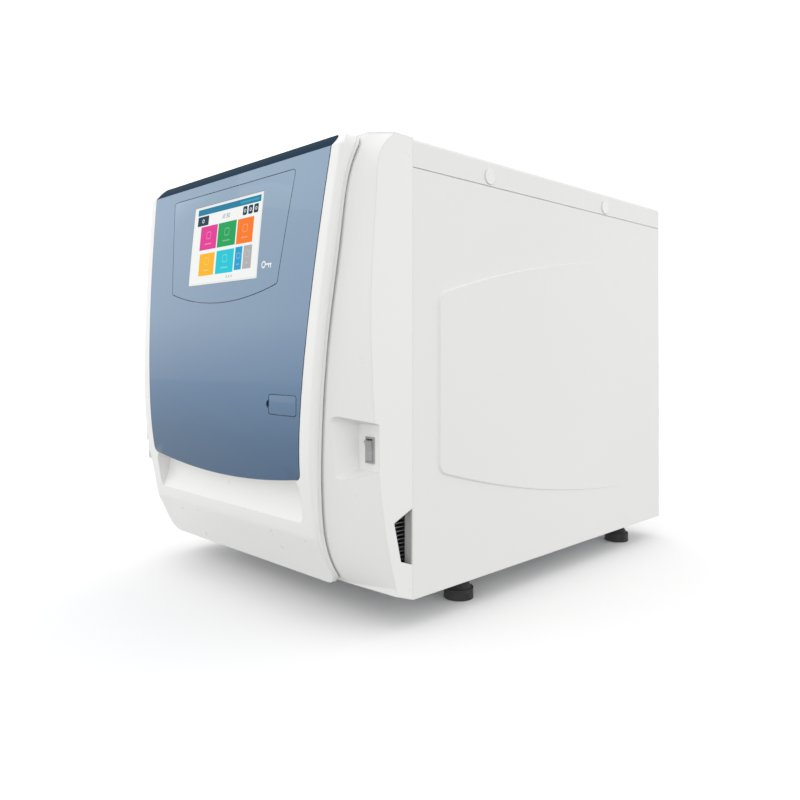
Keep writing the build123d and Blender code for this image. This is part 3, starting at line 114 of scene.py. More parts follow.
def colours(tree, value, stops):
    """A colour read from a ramp of (position, colour) stops."""
    ramp = add_node(tree, "ShaderNodeValToRGB", {"Fac": value})
    while len(ramp.color_ramp.elements) < len(stops):
        ramp.color_ramp.elements.new(0.5)
    for element, (position, colour) in zip(ramp.color_ramp.elements, stops):
        element.position = position
        element.color = (*colour, 1.0)
    return ramp.outputs["Color"]


def blend_colours(tree, share, first, second):
    """A mix of two colours, each a colour or another node's output."""
    mix = add_node(tree, "ShaderNodeMix", {0: share}, data_type="RGBA")
    for socket, value in ((mix.inputs[6], first), (mix.inputs[7], second)):
        if isinstance(value, bpy.types.NodeSocket):
            tree.links.new(value, socket)
        else:
            socket.default_value = (*value, 1.0)
    return mix.outputs[2]


def relief(tree, height, depth, edge_radius=0.0):
    """Small relief of a depth in metres, over edges that catch the light as if rounded by edge_radius."""
    links = {"Height": height, "Distance": depth, "Strength": 1.0}
    if edge_radius:
        links["Normal"] = add_node(tree, "ShaderNodeBevel", {"Radius": edge_radius}, samples=4).outputs["Normal"]
    return add_node(tree, "ShaderNodeBump", links).outputs["Normal"]


def new_finish(name, viewport):
    """An empty material with a Principled shader, and its tree."""
    material = bpy.data.materials.new(name)
    material.use_nodes = True
    material.diffuse_color = (*viewport, 1.0)
    tree = material.node_tree
    shader = tree.nodes["Principled BSDF"]
    return material, tree, shader


def connect(tree, shader, **inputs):
    """Gives the shader's inputs their values or links, with _ for a blank in a name."""
    for name, value in inputs.items():
        socket = shader.inputs[name.replace("_", " ")]
        if isinstance(value, bpy.types.NodeSocket):
            tree.links.new(value, socket)
        elif isinstance(value, tuple) and len(value) == 3:
            socket.default_value = (*value, 1.0)
        else:
            socket.default_value = value


finishes = {}

# %% [markdown]
# ## Painted and moulded whites
# The casing is steel with a baked powder coat: satin, with a faint orange peel about a millimetre across. The door and
# the fascia around it are moulded in glossier plastic with a very fine texture. Both are the same off-white, so the
# difference lies in how sharp their highlights are, and the bump is what shows it.


# %% The whites
def white_finish(name, base, shade, peel_scale, peel_depth, rough, edge):
    """A white skin: a little tone drift over the piece, surface peel, and edges that catch light."""
    material, tree, shader = new_finish(name, base)
    where = place_vector(tree)
    drift = noise(tree, where, 3.0, 3.0)
    dust = noise(tree, where, 60.0, 6.0, 0.6)
    tone = blend_colours(tree, spread(tree, drift, 0.0, 1.0, 0.3, 0.7), base, shade)
    peel = noise(tree, where, peel_scale, 2.0)
    connect(tree, shader, Base_Color=tone, Roughness=spread(tree, dust, rough - 0.05, rough + 0.05, 0.3, 0.7),
            Normal=relief(tree, peel, peel_depth, edge))
    finishes[name] = material
    return tree, shader


white_finish("casing_white", (0.83, 0.83, 0.815), (0.815, 0.813, 0.795), 900, 0.02 * MM, 0.45, 0.7 * MM)
tree, shader = white_finish("moulding_white", (0.86, 0.86, 0.85), (0.845, 0.845, 0.835), 2600, 0.006 * MM, 0.32,
                            1.5 * MM)
connect(tree, shader, Coat_Weight=0.25, Coat_Roughness=0.12)
print("white finishes:", list(finishes))

# %% [markdown]
# ## Printed marks
# A printed mark could be a picture file. Here marks are drawn by the shader from rounded rectangles, each a distance
# from its own middle, so they stay sharp at any size and need nothing else.

# %% Rounded shapes drawn by the shader
def tile_group():
    """A node group that gives 1 inside a rounded rectangle, or a ring when it has an inner size."""
    group = bpy.data.node_groups.new("rounded_tile", "ShaderNodeTree")
    for name, kind in (("Place", "NodeSocketVector"), ("Middle", "NodeSocketVector"), ("Half", "NodeSocketVector"),
                       ("Corner", "NodeSocketFloat"), ("Hollow", "NodeSocketFloat")):
        group.interface.new_socket(name, in_out="INPUT", socket_type=kind)
    group.interface.new_socket("Inside", in_out="OUTPUT", socket_type="NodeSocketFloat")
    given = group.nodes.new("NodeGroupInput").outputs

    def vector_math(operation, first, second=(0, 0, 0)):
        return add_node(group, "ShaderNodeVectorMath", {0: first, 1: second}, operation=operation).outputs[0]

    offset = vector_math("ABSOLUTE", vector_math("SUBTRACT", given["Place"], given["Middle"]))
    beyond = vector_math("MULTIPLY", vector_math("SUBTRACT", offset, given["Half"]), (1, 0, 1))
    corner = add_node(group, "ShaderNodeCombineXYZ", {"X": given["Corner"], "Z": given["Corner"]}).outputs[0]
    outside = vector_math("MAXIMUM", vector_math("ADD", beyond, corner))
    far = add_node(group, "ShaderNodeVectorMath", {0: outside}, operation="LENGTH").outputs["Value"]
    edge = number(group, "SUBTRACT", far, given["Corner"])
    inside = spread(group, edge, 1.0, 0.0, -0.1 * MM, 0.1 * MM)
    hole = spread(group, number(group, "ADD", edge, given["Hollow"]), 1.0, 0.0, -0.1 * MM, 0.1 * MM)
    has_hole = number(group, "GREATER_THAN", given["Hollow"], 0.0)
    kept = number(group, "SUBTRACT", inside, number(group, "MULTIPLY", hole, has_hole))
    out = group.nodes.new("NodeGroupOutput")
    group.links.new(kept, out.inputs["Inside"])
    return group


rounded_tile = tile_group()


def paint_tile(tree, where, under, colour, left, right, low, high, corner=0.8, hollow=0.0):
    """Paints one rounded rectangle, given in millimetres, over what is under it."""
    node = add_node(tree, "ShaderNodeGroup")
    node.node_tree = rounded_tile
    tree.links.new(where, node.inputs["Place"])
    node.inputs["Middle"].default_value = ((left + right) / 2 * MM, 0, (low + high) / 2 * MM)
    node.inputs["Half"].default_value = ((right - left) / 2 * MM, 0, (high - low) / 2 * MM)
    node.inputs["Corner"].default_value = corner * MM
    node.inputs["Hollow"].default_value = hollow * MM
    return blend_colours(tree, node.outputs["Inside"], under, colour)

# %% [markdown]
# ## The blue front
# The door's front is a thick glossy film over a printed back. Its blue runs from a pale steel blue at the top to a deep
# one below, and it ends in a near-black band along the door's top edge, whose dark is painted shade of that upward
# bend. The print is a ramp over height, and the film is a clear coat, so that it reflects more where it is seen at a
# flat angle. Its cut edges are coloured with the dark backing ink, partly as painted shade of the gaps around the film:
# an attribute on the faces, `side`, says where those are, and the same dark is painted for a hair's width along each
# edge, where a rounded normal would differ from the flat one. The shield carries a key mark beside the screen.


# %% The blue film and its dark top band
def film_finish(name, stops, rough, coat, marks=()):
    """A printed film under a clear coat; stops gives its colour at each height in metres; its edges are inked dark,
    partly as painted shade.
    """
    material, tree, shader = new_finish(name, stops[0][1])
    where = place_vector(tree)
    height = add_node(tree, "ShaderNodeSeparateXYZ", {"Vector": where}).outputs["Z"]
    low, high = stops[0][0], stops[-1][0]
    share = spread(tree, height, 0.0, 1.0, low, high)
    wander = spread(tree, noise(tree, where, 4.0, 2.0), -0.02, 0.02)
    ramp = colours(tree, number(tree, "ADD", share, wander), [((z - low) / (high - low), c) for z, c in stops])
    flake = spread(tree, noise(tree, where, 9000, 1.0), 0.0, 0.05 * coat, 0.45, 0.75)
    film_colour = blend_colours(tree, flake, ramp, (0.6, 0.7, 0.8))
    for mark in marks:
        film_colour = paint_tile(tree, where, film_colour, (0.80, 0.84, 0.87), *mark)
    # Sides and a hair's-width line along every edge are coloured dark: the film's backing, and partly painted shade of
    # the gaps around it.
    side = add_node(tree, "ShaderNodeAttribute", attribute_name="side").outputs["Fac"]
    rounded = add_node(tree, "ShaderNodeBevel", {"Radius": DARK_EDGE_WIDTH}, samples=4).outputs["Normal"]
    flat = add_node(tree, "ShaderNodeNewGeometry").outputs["Normal"]
    agree = add_node(tree, "ShaderNodeVectorMath", {0: rounded, 1: flat}, operation="DOT_PRODUCT")
    turned = agree.outputs["Value"]
    border = number(tree, "MAXIMUM", side, spread(tree, turned, 0.9, 0.0, 0.95, 0.985))
    film_colour = blend_colours(tree, border, film_colour, INK_AND_GAP_SHADE)
    smear = spread(tree, noise(tree, where, 25, 4.0), rough - 0.03, rough + 0.04, 0.3, 0.7)
    wave = noise(tree, where, 40, 1.0)
    connect(tree, shader, Base_Color=film_colour, Roughness=smear, Specular_IOR_Level=0.0,
            Normal=relief(tree, wave, 0.012 * MM, 0.5 * MM),
            Coat_Weight=coat, Coat_Roughness=0.03)
    finishes[name] = material


# The dark of the cut edges, partly painted shade of the gaps, and the width of the dark line painted along them.
INK_AND_GAP_SHADE, DARK_EDGE_WIDTH = (0.010, 0.034, 0.062), 0.9 * MM
KEY_MARK = [(80.5, 88.5, 370.5, 378.5, 4.0, 1.7), (88.0, 99.0, 373.7, 375.4, 0.4), (93.5, 95.0, 370.9, 374.0, 0.3),
            (96.7, 98.2, 370.3, 374.0, 0.3)]
PRINT = [(0.150, (0.040, 0.105, 0.205)), (0.190, (0.060, 0.135, 0.245)), (0.240, (0.110, 0.200, 0.335)),
         (0.320, (0.190, 0.290, 0.420)), (0.455, (0.240, 0.350, 0.480)), (0.500, (0.250, 0.360, 0.490))]
film_finish("panel_blue", PRINT, 0.3, 0.8)
film_finish("shield_blue", PRINT, 0.3, 0.8, KEY_MARK)
# The band's near-black navy is painted shade of the film's upward bend, and its coat is kept thin.
film_finish("panel_band", [(0.15, (0.008, 0.028, 0.052)), (0.5, (0.010, 0.034, 0.062))], 0.4, 0.05)
print("key mark drawn with", len(KEY_MARK), "rounded shapes")

# %% [markdown]
# ## Metals
# The chamber, trays and pressure plate are stainless steel: drawn, then brushed. Brushing leaves fine parallel
# scratches, which a noise that is stretched along one axis gives, and turning is the same with rings about the
# chamber's axis. Zinc-plated steel shows faint crystals, which a Voronoi pattern gives.


# %% Brushed, turned and plated metals
def metal_finish(name, base, shade, stretch, rough, depth=0.004 * MM, ringed=False, patches=8.0):
    """A metal with grain: stretched noise, or rings about the chamber's axis."""
    material, tree, shader = new_finish(name, base)
    where = place_vector(tree)
    grain_place = place_vector(tree, scale=stretch)
    if ringed:
        flat = add_node(tree, "ShaderNodeVectorMath", {0: where, 1: (0, 0, chamber_z)}, operation="SUBTRACT").outputs[0]
        flat = add_node(tree, "ShaderNodeVectorMath", {0: flat, 1: (1, 0, 1)}, operation="MULTIPLY").outputs[0]
        radius = add_node(tree, "ShaderNodeVectorMath", {0: flat}, operation="LENGTH").outputs["Value"]
        grain_place = add_node(tree, "ShaderNodeCombineXYZ", {"X": radius}).outputs[0]
    grain = noise(tree, grain_place, 1400, 3.0, 0.6)
    cloud = noise(tree, where, patches, 3.0)
    tone = blend_colours(tree, spread(tree, grain, 0.0, 1.0, 0.35, 0.65), base, shade)
    roughness = number(tree, "ADD", spread(tree, grain, rough - 0.06, rough + 0.06), spread(tree, cloud, -0.04, 0.05))
    connect(tree, shader, Base_Color=tone, Metallic=1.0, Roughness=roughness,
            Normal=relief(tree, grain, depth, 0.3 * MM))
    finishes[name] = material
    return tree, shader


metal_finish("stainless", (0.66, 0.65, 0.63), (0.52, 0.515, 0.50), (1.0, 0.02, 1.0), 0.27)
metal_finish("stainless_turned", (0.70, 0.69, 0.67), (0.56, 0.555, 0.54), (1, 1, 1), 0.22, ringed=True)
# The condenser's aluminium has a dark base: painted shade for the inside of the side vent, where its fins show.
metal_finish("aluminium", (0.30, 0.305, 0.31), (0.22, 0.225, 0.23), (0.05, 1.0, 1.0), 0.42)
metal_finish("brass", (0.78, 0.60, 0.30), (0.60, 0.42, 0.18), (1.0, 1.0, 0.2), 0.3, patches=60)
metal_finish("copper", (0.78, 0.43, 0.29), (0.50, 0.25, 0.16), (1.0, 0.3, 1.0), 0.32, patches=90)


def zinc_finish():
    """Zinc plate: crystals of slightly different tone and shine."""
    material, tree, shader = new_finish("zinc_steel", (0.6, 0.61, 0.62))
    where = place_vector(tree)
    crystal = add_node(tree, "ShaderNodeTexVoronoi", {"Vector": where, "Scale": 140.0}).outputs["Color"]
    shade = add_node(tree, "ShaderNodeSeparateColor", {"Color": crystal}).outputs[0]
    tone = blend_colours(tree, shade, (0.50, 0.51, 0.53), (0.70, 0.71, 0.72))
    connect(tree, shader, Base_Color=tone, Metallic=0.9, Roughness=spread(tree, shade, 0.3, 0.45),
            Normal=relief(tree, noise(tree, where, 700, 3.0), 0.01 * MM, 0.3 * MM))
    finishes["zinc_steel"] = material


zinc_finish()
METALS = ("stainless", "stainless_turned", "aluminium", "brass", "copper", "zinc_steel")
print("metals:", [name for name in METALS if name in finishes])

# %% [markdown]
# ## Plastics, rubber, felt and the circuit board
# These sit inside, behind or under the casing. Rubber is dark and dull with a powdery bloom. The seal is a pale
# silicone that light enters a little. The jacket is needled felt, so its noise is drawn out into fibres, with sheen.


# %% Soft and dark finishes
def plastic_finish(name, base, shade, grain_scale, grain_depth, rough, edge=0.3 * MM, **extra):
    """A moulded or cut material: two tones in patches, a grain, and a roughness that drifts."""
    material, tree, shader = new_finish(name, base)
    where = place_vector(tree)
    patch = noise(tree, where, 45, 4.0, 0.6)
    grain = noise(tree, where, grain_scale, 3.0, 0.6)
    tone = blend_colours(tree, spread(tree, patch, 0.0, 1.0, 0.3, 0.7), base, shade)
    connect(tree, shader, Base_Color=tone, Roughness=spread(tree, grain, rough - 0.07, rough + 0.07, 0.3, 0.7),
            Normal=relief(tree, grain, grain_depth, edge), **extra)
    finishes[name] = material
    return tree, shader


plastic_finish("switch_grey", (0.40, 0.395, 0.40), (0.36, 0.355, 0.36), 2200, 0.01 * MM, 0.4)
plastic_finish("dark_plastic", (0.030, 0.031, 0.034), (0.045, 0.046, 0.049), 1800, 0.03 * MM, 0.5)
plastic_finish("rubber_black", (0.016, 0.016, 0.017), (0.036, 0.035, 0.034), 900, 0.05 * MM, 0.72)
plastic_finish("silicone", (0.66, 0.64, 0.60), (0.60, 0.58, 0.53), 700, 0.02 * MM, 0.55,
               Subsurface_Weight=0.2, Subsurface_Scale=0.004)
plastic_finish("tank_plastic", (0.74, 0.77, 0.78), (0.68, 0.72, 0.74), 300, 0.05 * MM, 0.42,
               Subsurface_Weight=0.3, Subsurface_Scale=0.01)


def felt_finish():
    """Needled felt: fibres drawn out of noise in two directions."""
    material, tree, shader = new_finish("felt", (0.7, 0.68, 0.62))
    along = noise(tree, place_vector(tree, scale=(1, 0.12, 1)), 1600, 4.0, 0.7, 0.8)
    round_it = noise(tree, place_vector(tree, scale=(0.15, 1, 0.15)), 1600, 4.0, 0.7, 0.8)
    fibres = number(tree, "MAXIMUM", along, round_it)
    tone = blend_colours(tree, spread(tree, fibres, 0.0, 1.0, 0.4, 0.75), (0.52, 0.50, 0.45), (0.76, 0.74, 0.68))
    connect(tree, shader, Base_Color=tone, Roughness=0.9, Normal=relief(tree, fibres, 0.3 * MM), Sheen_Weight=0.3)
    finishes["felt"] = material


def board_finish():
    """A circuit board: solder mask over tracks that run square to each other."""
    material, tree, shader = new_finish("board_green", (0.05, 0.2, 0.1))
    links = {"Vector": place_vector(tree, turn=(0, math.pi / 2, 0)), "Scale": 260.0, "Mortar Size": 0.03}
    bricks = add_node(tree, "ShaderNodeTexBrick", links)
    tone = blend_colours(tree, bricks.outputs["Fac"], (0.02, 0.13, 0.06), (0.06, 0.26, 0.12))
    connect(tree, shader, Base_Color=tone, Roughness=0.35,
            Normal=relief(tree, bricks.outputs["Fac"], 0.03 * MM, 0.2 * MM))
    finishes["board_green"] = material


felt_finish()
board_finish()
print("finishes so far:", len(finishes))

# %% [markdown]
# ## The touch screen's picture
# A lit screen shows a menu of coloured tiles on white, drawn with the same rounded shapes. The marks in the tiles are
# neutral bars and rings, with no words, and the clock shows a plain time. Most of its light is its own, so the colours
# hold in a bright room.

# %% The menu on the screen
TEAL, NAVY, PALE = (0.0, 0.21, 0.36), (0.0, 0.035, 0.075), (0.93, 0.95, 0.93)
MENU = [
    ((0.80, 0.030, 0.31), -54.5, -17.0, 402.5, 431.0), ((0.0, 0.38, 0.095), -15.0, 23.5, 402.5, 431.0),
    ((1.00, 0.20, 0.006), 26.0, 58.5, 402.0, 430.5), ((1.00, 0.49, 0.0), -52.0, -18.0, 371.5, 398.0),
    ((0.0, 0.60, 0.71), -14.0, 23.6, 371.5, 398.5), ((0.0, 0.365, 0.67), 26.0, 40.5, 373.0, 399.0),
    ((0.455, 0.445, 0.45), 43.0, 59.6, 373.0, 399.0),
]
CLOCK = [(-8.0, -7.2, 436.0, 441.0), (-6.0, -3.0, 440.3, 441.0), (-3.7, -3.0, 438.5, 441.0), (-6.0, -3.0, 438.2, 438.9),
         (-6.0, -5.3, 436.0, 438.6), (-6.0, -3.0, 436.0, 436.7), (-1.9, -1.2, 439.4, 440.1), (-1.9, -1.2, 437.0, 437.7),
         (-0.1, 2.9, 440.3, 441.0), (0.3, 2.9, 438.2, 438.9), (-0.1, 2.9, 436.0, 436.7), (2.2, 2.9, 436.0, 441.0),
         (4.3, 7.3, 436.0, 441.0, 0.8, 0.7)]


def screen_finish():
    """The lit menu behind its cover glass."""
    material, tree, shader = new_finish("screen_glass", (0.8, 0.85, 0.9))
    where = place_vector(tree)
    picture = paint_tile(tree, where, (0.84, 0.86, 0.86), PALE, -71, 71, 363, 454, 1.5)
    picture = paint_tile(tree, where, picture, TEAL, -65, 69, 445.5, 453, 0.6)
    picture = paint_tile(tree, where, picture, (0.02, 0.36, 0.52), 28, 66, 448, 450.5, 1.0)
    picture = paint_tile(tree, where, picture, NAVY, -64, -39, 432.5, 444.0, 1.0)
    picture = paint_tile(tree, where, picture, PALE, -54, -49, 436.0, 440.5, 2.2, 0.9)
    for stroke in CLOCK:
        picture = paint_tile(tree, where, picture, (0.16, 0.20, 0.24), *(stroke if len(stroke) > 4 else (*stroke, 0.2)))
    for left in (34.5, 45.5, 56.5):
        picture = paint_tile(tree, where, picture, NAVY, left, left + 8.6, 434.0, 444.0, 1.8)
        picture = paint_tile(tree, where, picture, PALE, left + 2.3, left + 6.3, 437.0, 441.0, 2.0, 0.8)
    for colour, left, right, low, high in MENU:
        middle, bar = (left + right) / 2, low + (high - low) * 0.24
        picture = paint_tile(tree, where, picture, colour, left, right, low, high, 0.5)
        soft = tuple(0.72 * channel + 0.24 for channel in colour)
        size = min(5.0, (right - left) * 0.26)
        ring = (middle - size, middle + size, low + 12.5, low + 12.5 + size * 1.8)
        picture = paint_tile(tree, where, picture, soft, *ring, size * 0.5, 0.9)
        wide = (right - left) * 0.2
        picture = paint_tile(tree, where, picture, soft, middle - wide, middle + wide, bar - 0.7, bar + 0.7, 0.6)
    for step in range(3):
        picture = paint_tile(tree, where, picture, (0.6, 0.62, 0.65), 10 + step * 5, 13 + step * 5, 365.5, 368.5, 1.4)
    glow = noise(tree, where, 30, 2.0)
    under = blend_colours(tree, 0.65, picture, (0.0, 0.0, 0.0))
    connect(tree, shader, Base_Color=under, Emission_Color=picture, Emission_Strength=0.6,
            Roughness=spread(tree, glow, 0.12, 0.2), Specular_IOR_Level=0.06)
    finishes["screen_glass"] = material


screen_finish()
print("screen drawn with", len(finishes["screen_glass"].node_tree.nodes), "nodes")

# %% [markdown]
# ## Giving each CAD piece its finish
# The frame arrives with plain materials. Here each node gets the finish of the stuff it is made of, by name, so that
# nothing is left plain.

# %% Which piece is made of what
MADE_OF = {
    "casing_white": "side_panel_right side_panel_left top_cover rear_panel fill_hatch",
    "moulding_white": "front_fascia screw_caps door_shell door_liner",
    "panel_blue": "door_panel display_bezel usb_flap",
    "screen_glass": "touch_screen",
    "switch_grey": "power_switch_body power_rocker",
    "dark_plastic": "display_module usb_port fan_housing fan_rotor mains_inlet air_filter power_supply vacuum_pump",
    "rubber_black": "foot_pads rear_bumpers drain_line",
    "silicone": "door_gasket",
    "stainless": "chamber_vessel tray_rack tray_lower tray_middle tray_upper steam_generator",
    "stainless_turned": "chamber_flange pressure_plate",
    "zinc_steel": "base_pan front_frame hinge_bracket hinge_pin strike_plate cover_screws foot_studs chamber_saddles"
                  " chamber_heater tank_shelf fan_guard door_arm lock_bar lock_actuator",
    "aluminium": "condenser",
    "brass": "valve_manifold water_couplings safety_valve",
    "copper": "steam_line",
    "felt": "insulation_jacket",
    "board_green": "control_board",
    "tank_plastic": "clean_tank used_tank",
}
finish_of = {node: finish for finish, nodes in MADE_OF.items() for node in nodes.split()}
for node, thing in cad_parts.items():
    thing.data.materials.clear()
    thing.data.materials.append(finishes[finish_of[node]])
print(len(finish_of), "nodes finished; left plain:", sorted(set(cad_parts) - set(finish_of)))

# %% [markdown]
# ## Copies that may be reshaped
# A CAD node is never changed, but a copy of it may be, and then stands in for it. The copy is merged first, because the
# frame's mesh is loose triangles. The film's dark top band bends back over the door's upper edge and is coloured
# near-black as painted shade of that upward bend, so the panel is cut by a level plane where it bends, and each half's
# cut is closed.

# %% The films: panel, band, shield and socket flap
BAND_START = panel_high.z - 13.5 * MM


def own_piece(name, mesh, finish, body, replaced=()):
    """Makes a finished piece of a mesh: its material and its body."""
    piece = bpy.data.objects.new(name, mesh)
    bpy.context.scene.collection.objects.link(piece)
    mesh.materials.clear()
    mesh.materials.append(finishes[finish])
    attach(piece, body)
    if replaced:
        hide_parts(*replaced)
    return piece


def merged_shape(node):
    """A CAD node's shape with its loose triangles joined."""
    shape = bmesh.new()
    shape.from_mesh(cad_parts[node].data)
    bmesh.ops.remove_doubles(shape, verts=shape.verts, dist=1e-6)
    return shape


def mesh_from(shape, name, turned=True):
    """Turns a worked shape into a mesh, with its faces turned outward if asked, and tells how many edges are open."""
    if turned:
        bmesh.ops.recalc_face_normals(shape, faces=shape.faces)
    open_edges = sum(not edge.is_manifold for edge in shape.edges)
    mesh = bpy.data.meshes.new(name)
    shape.to_mesh(mesh)
    shape.free()
    mesh.shade_smooth()
    mesh.set_sharp_from_angle(angle=math.radians(30))
    print(name, "faces", len(mesh.polygons), "open edges", open_edges)
    return mesh


def film_piece(name, node, finish, body, keep=None):
    """A film with its cut edges marked; keep is "below" or "above" the band's start, or None for all of it."""
    shape = merged_shape(node)
    if keep:
        everything = shape.verts[:] + shape.edges[:] + shape.faces[:]
        bmesh.ops.bisect_plane(shape, geom=everything, plane_co=(0, 0, BAND_START), plane_no=(0, 0, 1), dist=1e-7,
                               clear_outer=keep == "below", clear_inner=keep == "above")
        rim = [edge for edge in shape.edges if edge.is_boundary]
        bmesh.ops.triangle_fill(shape, edges=rim, use_beauty=True)
    mesh = mesh_from(shape, name)
    # Faces that look neither forward nor up are marked side, to be coloured dark: the film's backing, and partly
    # painted shade of the gaps.
    side = mesh.attributes.new("side", "FLOAT", "FACE")
    for face in mesh.polygons:
        side.data[face.index].value = 0.0 if face.normal.y < -0.5 or face.normal.z > 0.6 else 1.0
    return own_piece(name, mesh, finish, body, [node])


film_piece("door_panel_face", "door_panel", "panel_blue", "door", "below")
film_piece("door_panel_band", "door_panel", "panel_band", "door", "above")
film_piece("display_shield", "display_bezel", "shield_blue", "door")
film_piece("usb_flap_film", "usb_flap", "panel_blue", "usb_flap")

# %% [markdown]
# ## Rounding the door's rim
# The door is a moulding, and its upright rims are well rounded. A bevel tears on long thin triangles, so the front is
# sliced beside each rim instead, at steps of equal turn, and each slice is pushed back as far as a round of that
# radius falls away there. The door widens upward from a knee, so it is first squared up, which makes its rims upright,
# and widened again afterwards. The round dies away into the door's corners, and over a longer way at the foot, where
# the door is thin.

# %% The rounded door
RIM_RADIUS = 5.0 * MM
RIM_STEPS = 6
KNEE_Z, KNEE_HALF, TOP_Z, TOP_HALF = 0.100, 0.168, 0.500, 0.200
CORNER, LOW_FADE = 14.0 * MM, 75.0 * MM


def half_width(z):
    """Half of the door's width at a height: upright to the knee, then leaning out."""
    return KNEE_HALF + (TOP_HALF - KNEE_HALF) * max(0.0, z - KNEE_Z) / (TOP_Z - KNEE_Z)


def rim_share(point, low, high):
    """How far across the round a point of the squared-up front lies, from 0 to 1, less in the corners."""
    share = min(max((abs(point.x) - TOP_HALF + RIM_RADIUS) / RIM_RADIUS, 0.0), 1.0)
    into = min((point.z - low) / LOW_FADE, (high - point.z) / CORNER)
    return share * min(max(into, 0.0), 1.0)


def node_normals(node, shape):
    """The CAD node's own smooth normal at each corner of a shape that has been cut from it."""
    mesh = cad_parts[node].data
    corners = [[mesh.vertices[v].co for v in face.vertices] for face in mesh.polygons]
    tree = BVHTree.FromPolygons([vert.co for vert in mesh.vertices], [list(face.vertices) for face in mesh.polygons])
    result = []
    for face in shape.faces:
        index = tree.find_nearest(face.calc_center_median())[2]
        own = [mesh.corner_normals[loop].vector for loop in mesh.polygons[index].loop_indices]
        flat = mesh.polygons[index].normal
        for vert in face.verts:
            smooth = barycentric_transform(vert.co, *corners[index], *own).normalized()
            result.append(smooth if smooth.dot(flat) > 0.85 else flat.copy())
    return result


def rounded_door():
    """The door's shell with its two upright rims rounded."""
    shape = merged_shape("door_shell")
    bmesh.ops.dissolve_degenerate(shape, edges=shape.edges, dist=0.02 * MM)
    low, high = (pick(vert.co.z for vert in shape.verts) for pick in (min, max))
    for vert in shape.verts:
        vert.co.x *= TOP_HALF / half_width(vert.co.z)
    for step in range(RIM_STEPS):
        across = TOP_HALF - RIM_RADIUS + RIM_RADIUS * math.sin(math.pi / 2 * step / RIM_STEPS)
        for side in (-1, 1):
            everything = shape.verts[:] + shape.edges[:] + shape.faces[:]
            bmesh.ops.bisect_plane(shape, geom=everything, plane_co=(side * across, 0, 0), plane_no=(1, 0, 0),
                                   dist=1e-7)
    bmesh.ops.triangulate(shape, faces=shape.faces)
    shares = [rim_share(vert.co, low, high) for vert in shape.verts]
    for vert in shape.verts:
        vert.co.x *= half_width(vert.co.z) / TOP_HALF
    bmesh.ops.recalc_face_normals(shape, faces=shape.faces)
    shape.verts.index_update()
    normals = node_normals("door_shell", shape)
    corner, pushed = 0, {}
    for face in shape.faces:
        ahead = face.normal.y < -0.3
        for vert in face.verts:
            share = shares[vert.index]
            if ahead and share > 0.0:
                outward = Vector((math.copysign(share, vert.co.x), 0, 0))
                normals[corner] = (normals[corner] * math.sqrt(1.0 - share * share) + outward).normalized()
                pushed[vert] = RIM_RADIUS * (1.0 - math.sqrt(1.0 - share * share))
            corner += 1
    for vert, back in pushed.items():
        vert.co.y += back
    print("rim points pushed back:", len(pushed))
    mesh = mesh_from(shape, "door_moulding", turned=False)
    mesh.normals_split_custom_set(normals)
    return own_piece("door_moulding", mesh, "moulding_white", "door", ["door_shell"])


rounded_door()

# %% [markdown]
# ## Screws and louvre hoods by the grid
# The same few small things repeat over the back. A node tree sets copies of one piece at the points of an upright
# grid, turns each by chance about its own axis, and joins them into one mesh. Screws are never all turned the same
# way, so they get a full turn; the pressed hoods get none.

# %% The small pieces and the tree that repeats them
def rings_to_mesh(name, rings):
    """A closed skin through rings of the same number of points, with both ends closed."""
    count = len(rings[0])
    points = [point for ring in rings for point in ring]
    faces = [(r * count + i, r * count + (i + 1) % count, (r + 1) * count + (i + 1) % count, (r + 1) * count + i)
             for r in range(len(rings) - 1) for i in range(count)]
    faces += [tuple(range(count)), tuple(range((len(rings) - 1) * count, len(rings) * count))]
    mesh = bpy.data.meshes.new(name)
    mesh.from_pydata(points, [], faces)
    shape = bmesh.new()
    shape.from_mesh(mesh)
    bmesh.ops.recalc_face_normals(shape, faces=shape.faces)
    shape.to_mesh(mesh)
    shape.free()
    mesh.shade_smooth()
    mesh.set_sharp_from_angle(angle=math.radians(35))
    thing = bpy.data.objects.new(name, mesh)
    bpy.context.scene.collection.objects.link(thing)
    return thing


def screw_head():
    """A button head with a hexagonal socket, standing out along +Y."""
    turns = [math.tau * i / 24 for i in range(24)]
    rings = [[(r * MM * math.cos(t), y * MM, r * MM * math.sin(t)) for t in turns]
             for r, y in ((3.3, 0.0), (3.3, 0.5), (2.9, 1.2), (2.1, 1.7), (1.5, 1.8))]
    socket = [1.1 / math.cos(t % (math.pi / 3) - math.pi / 6) for t in turns]
    for y in (1.75, 0.7):
        rings.append([(r * MM * math.cos(t), y * MM, r * MM * math.sin(t)) for r, t in zip(socket, turns)])
    return rings_to_mesh("screw_head", rings)


def louvre_hood():
    """A pressed hood, 60 mm wide, that shades a slot and dies away at both ends."""
    arc = [math.pi / 2 * i / 8 for i in range(9)]
    rings = []
    for x, share in ((-31, 0.04), (-30, 0.45), (-28, 0.78), (-25, 1.0), (25, 1.0), (28, 0.78), (30, 0.45), (31, 0.04)):
        profile = [(x * MM, share * 3.6 * MM * math.cos(t), (2.6 + share * 4.4 * math.sin(t)) * MM) for t in arc]
        rings.append(profile + [(x * MM, 0.0, 2.6 * MM)])
    return rings_to_mesh("louvre_hood", rings)


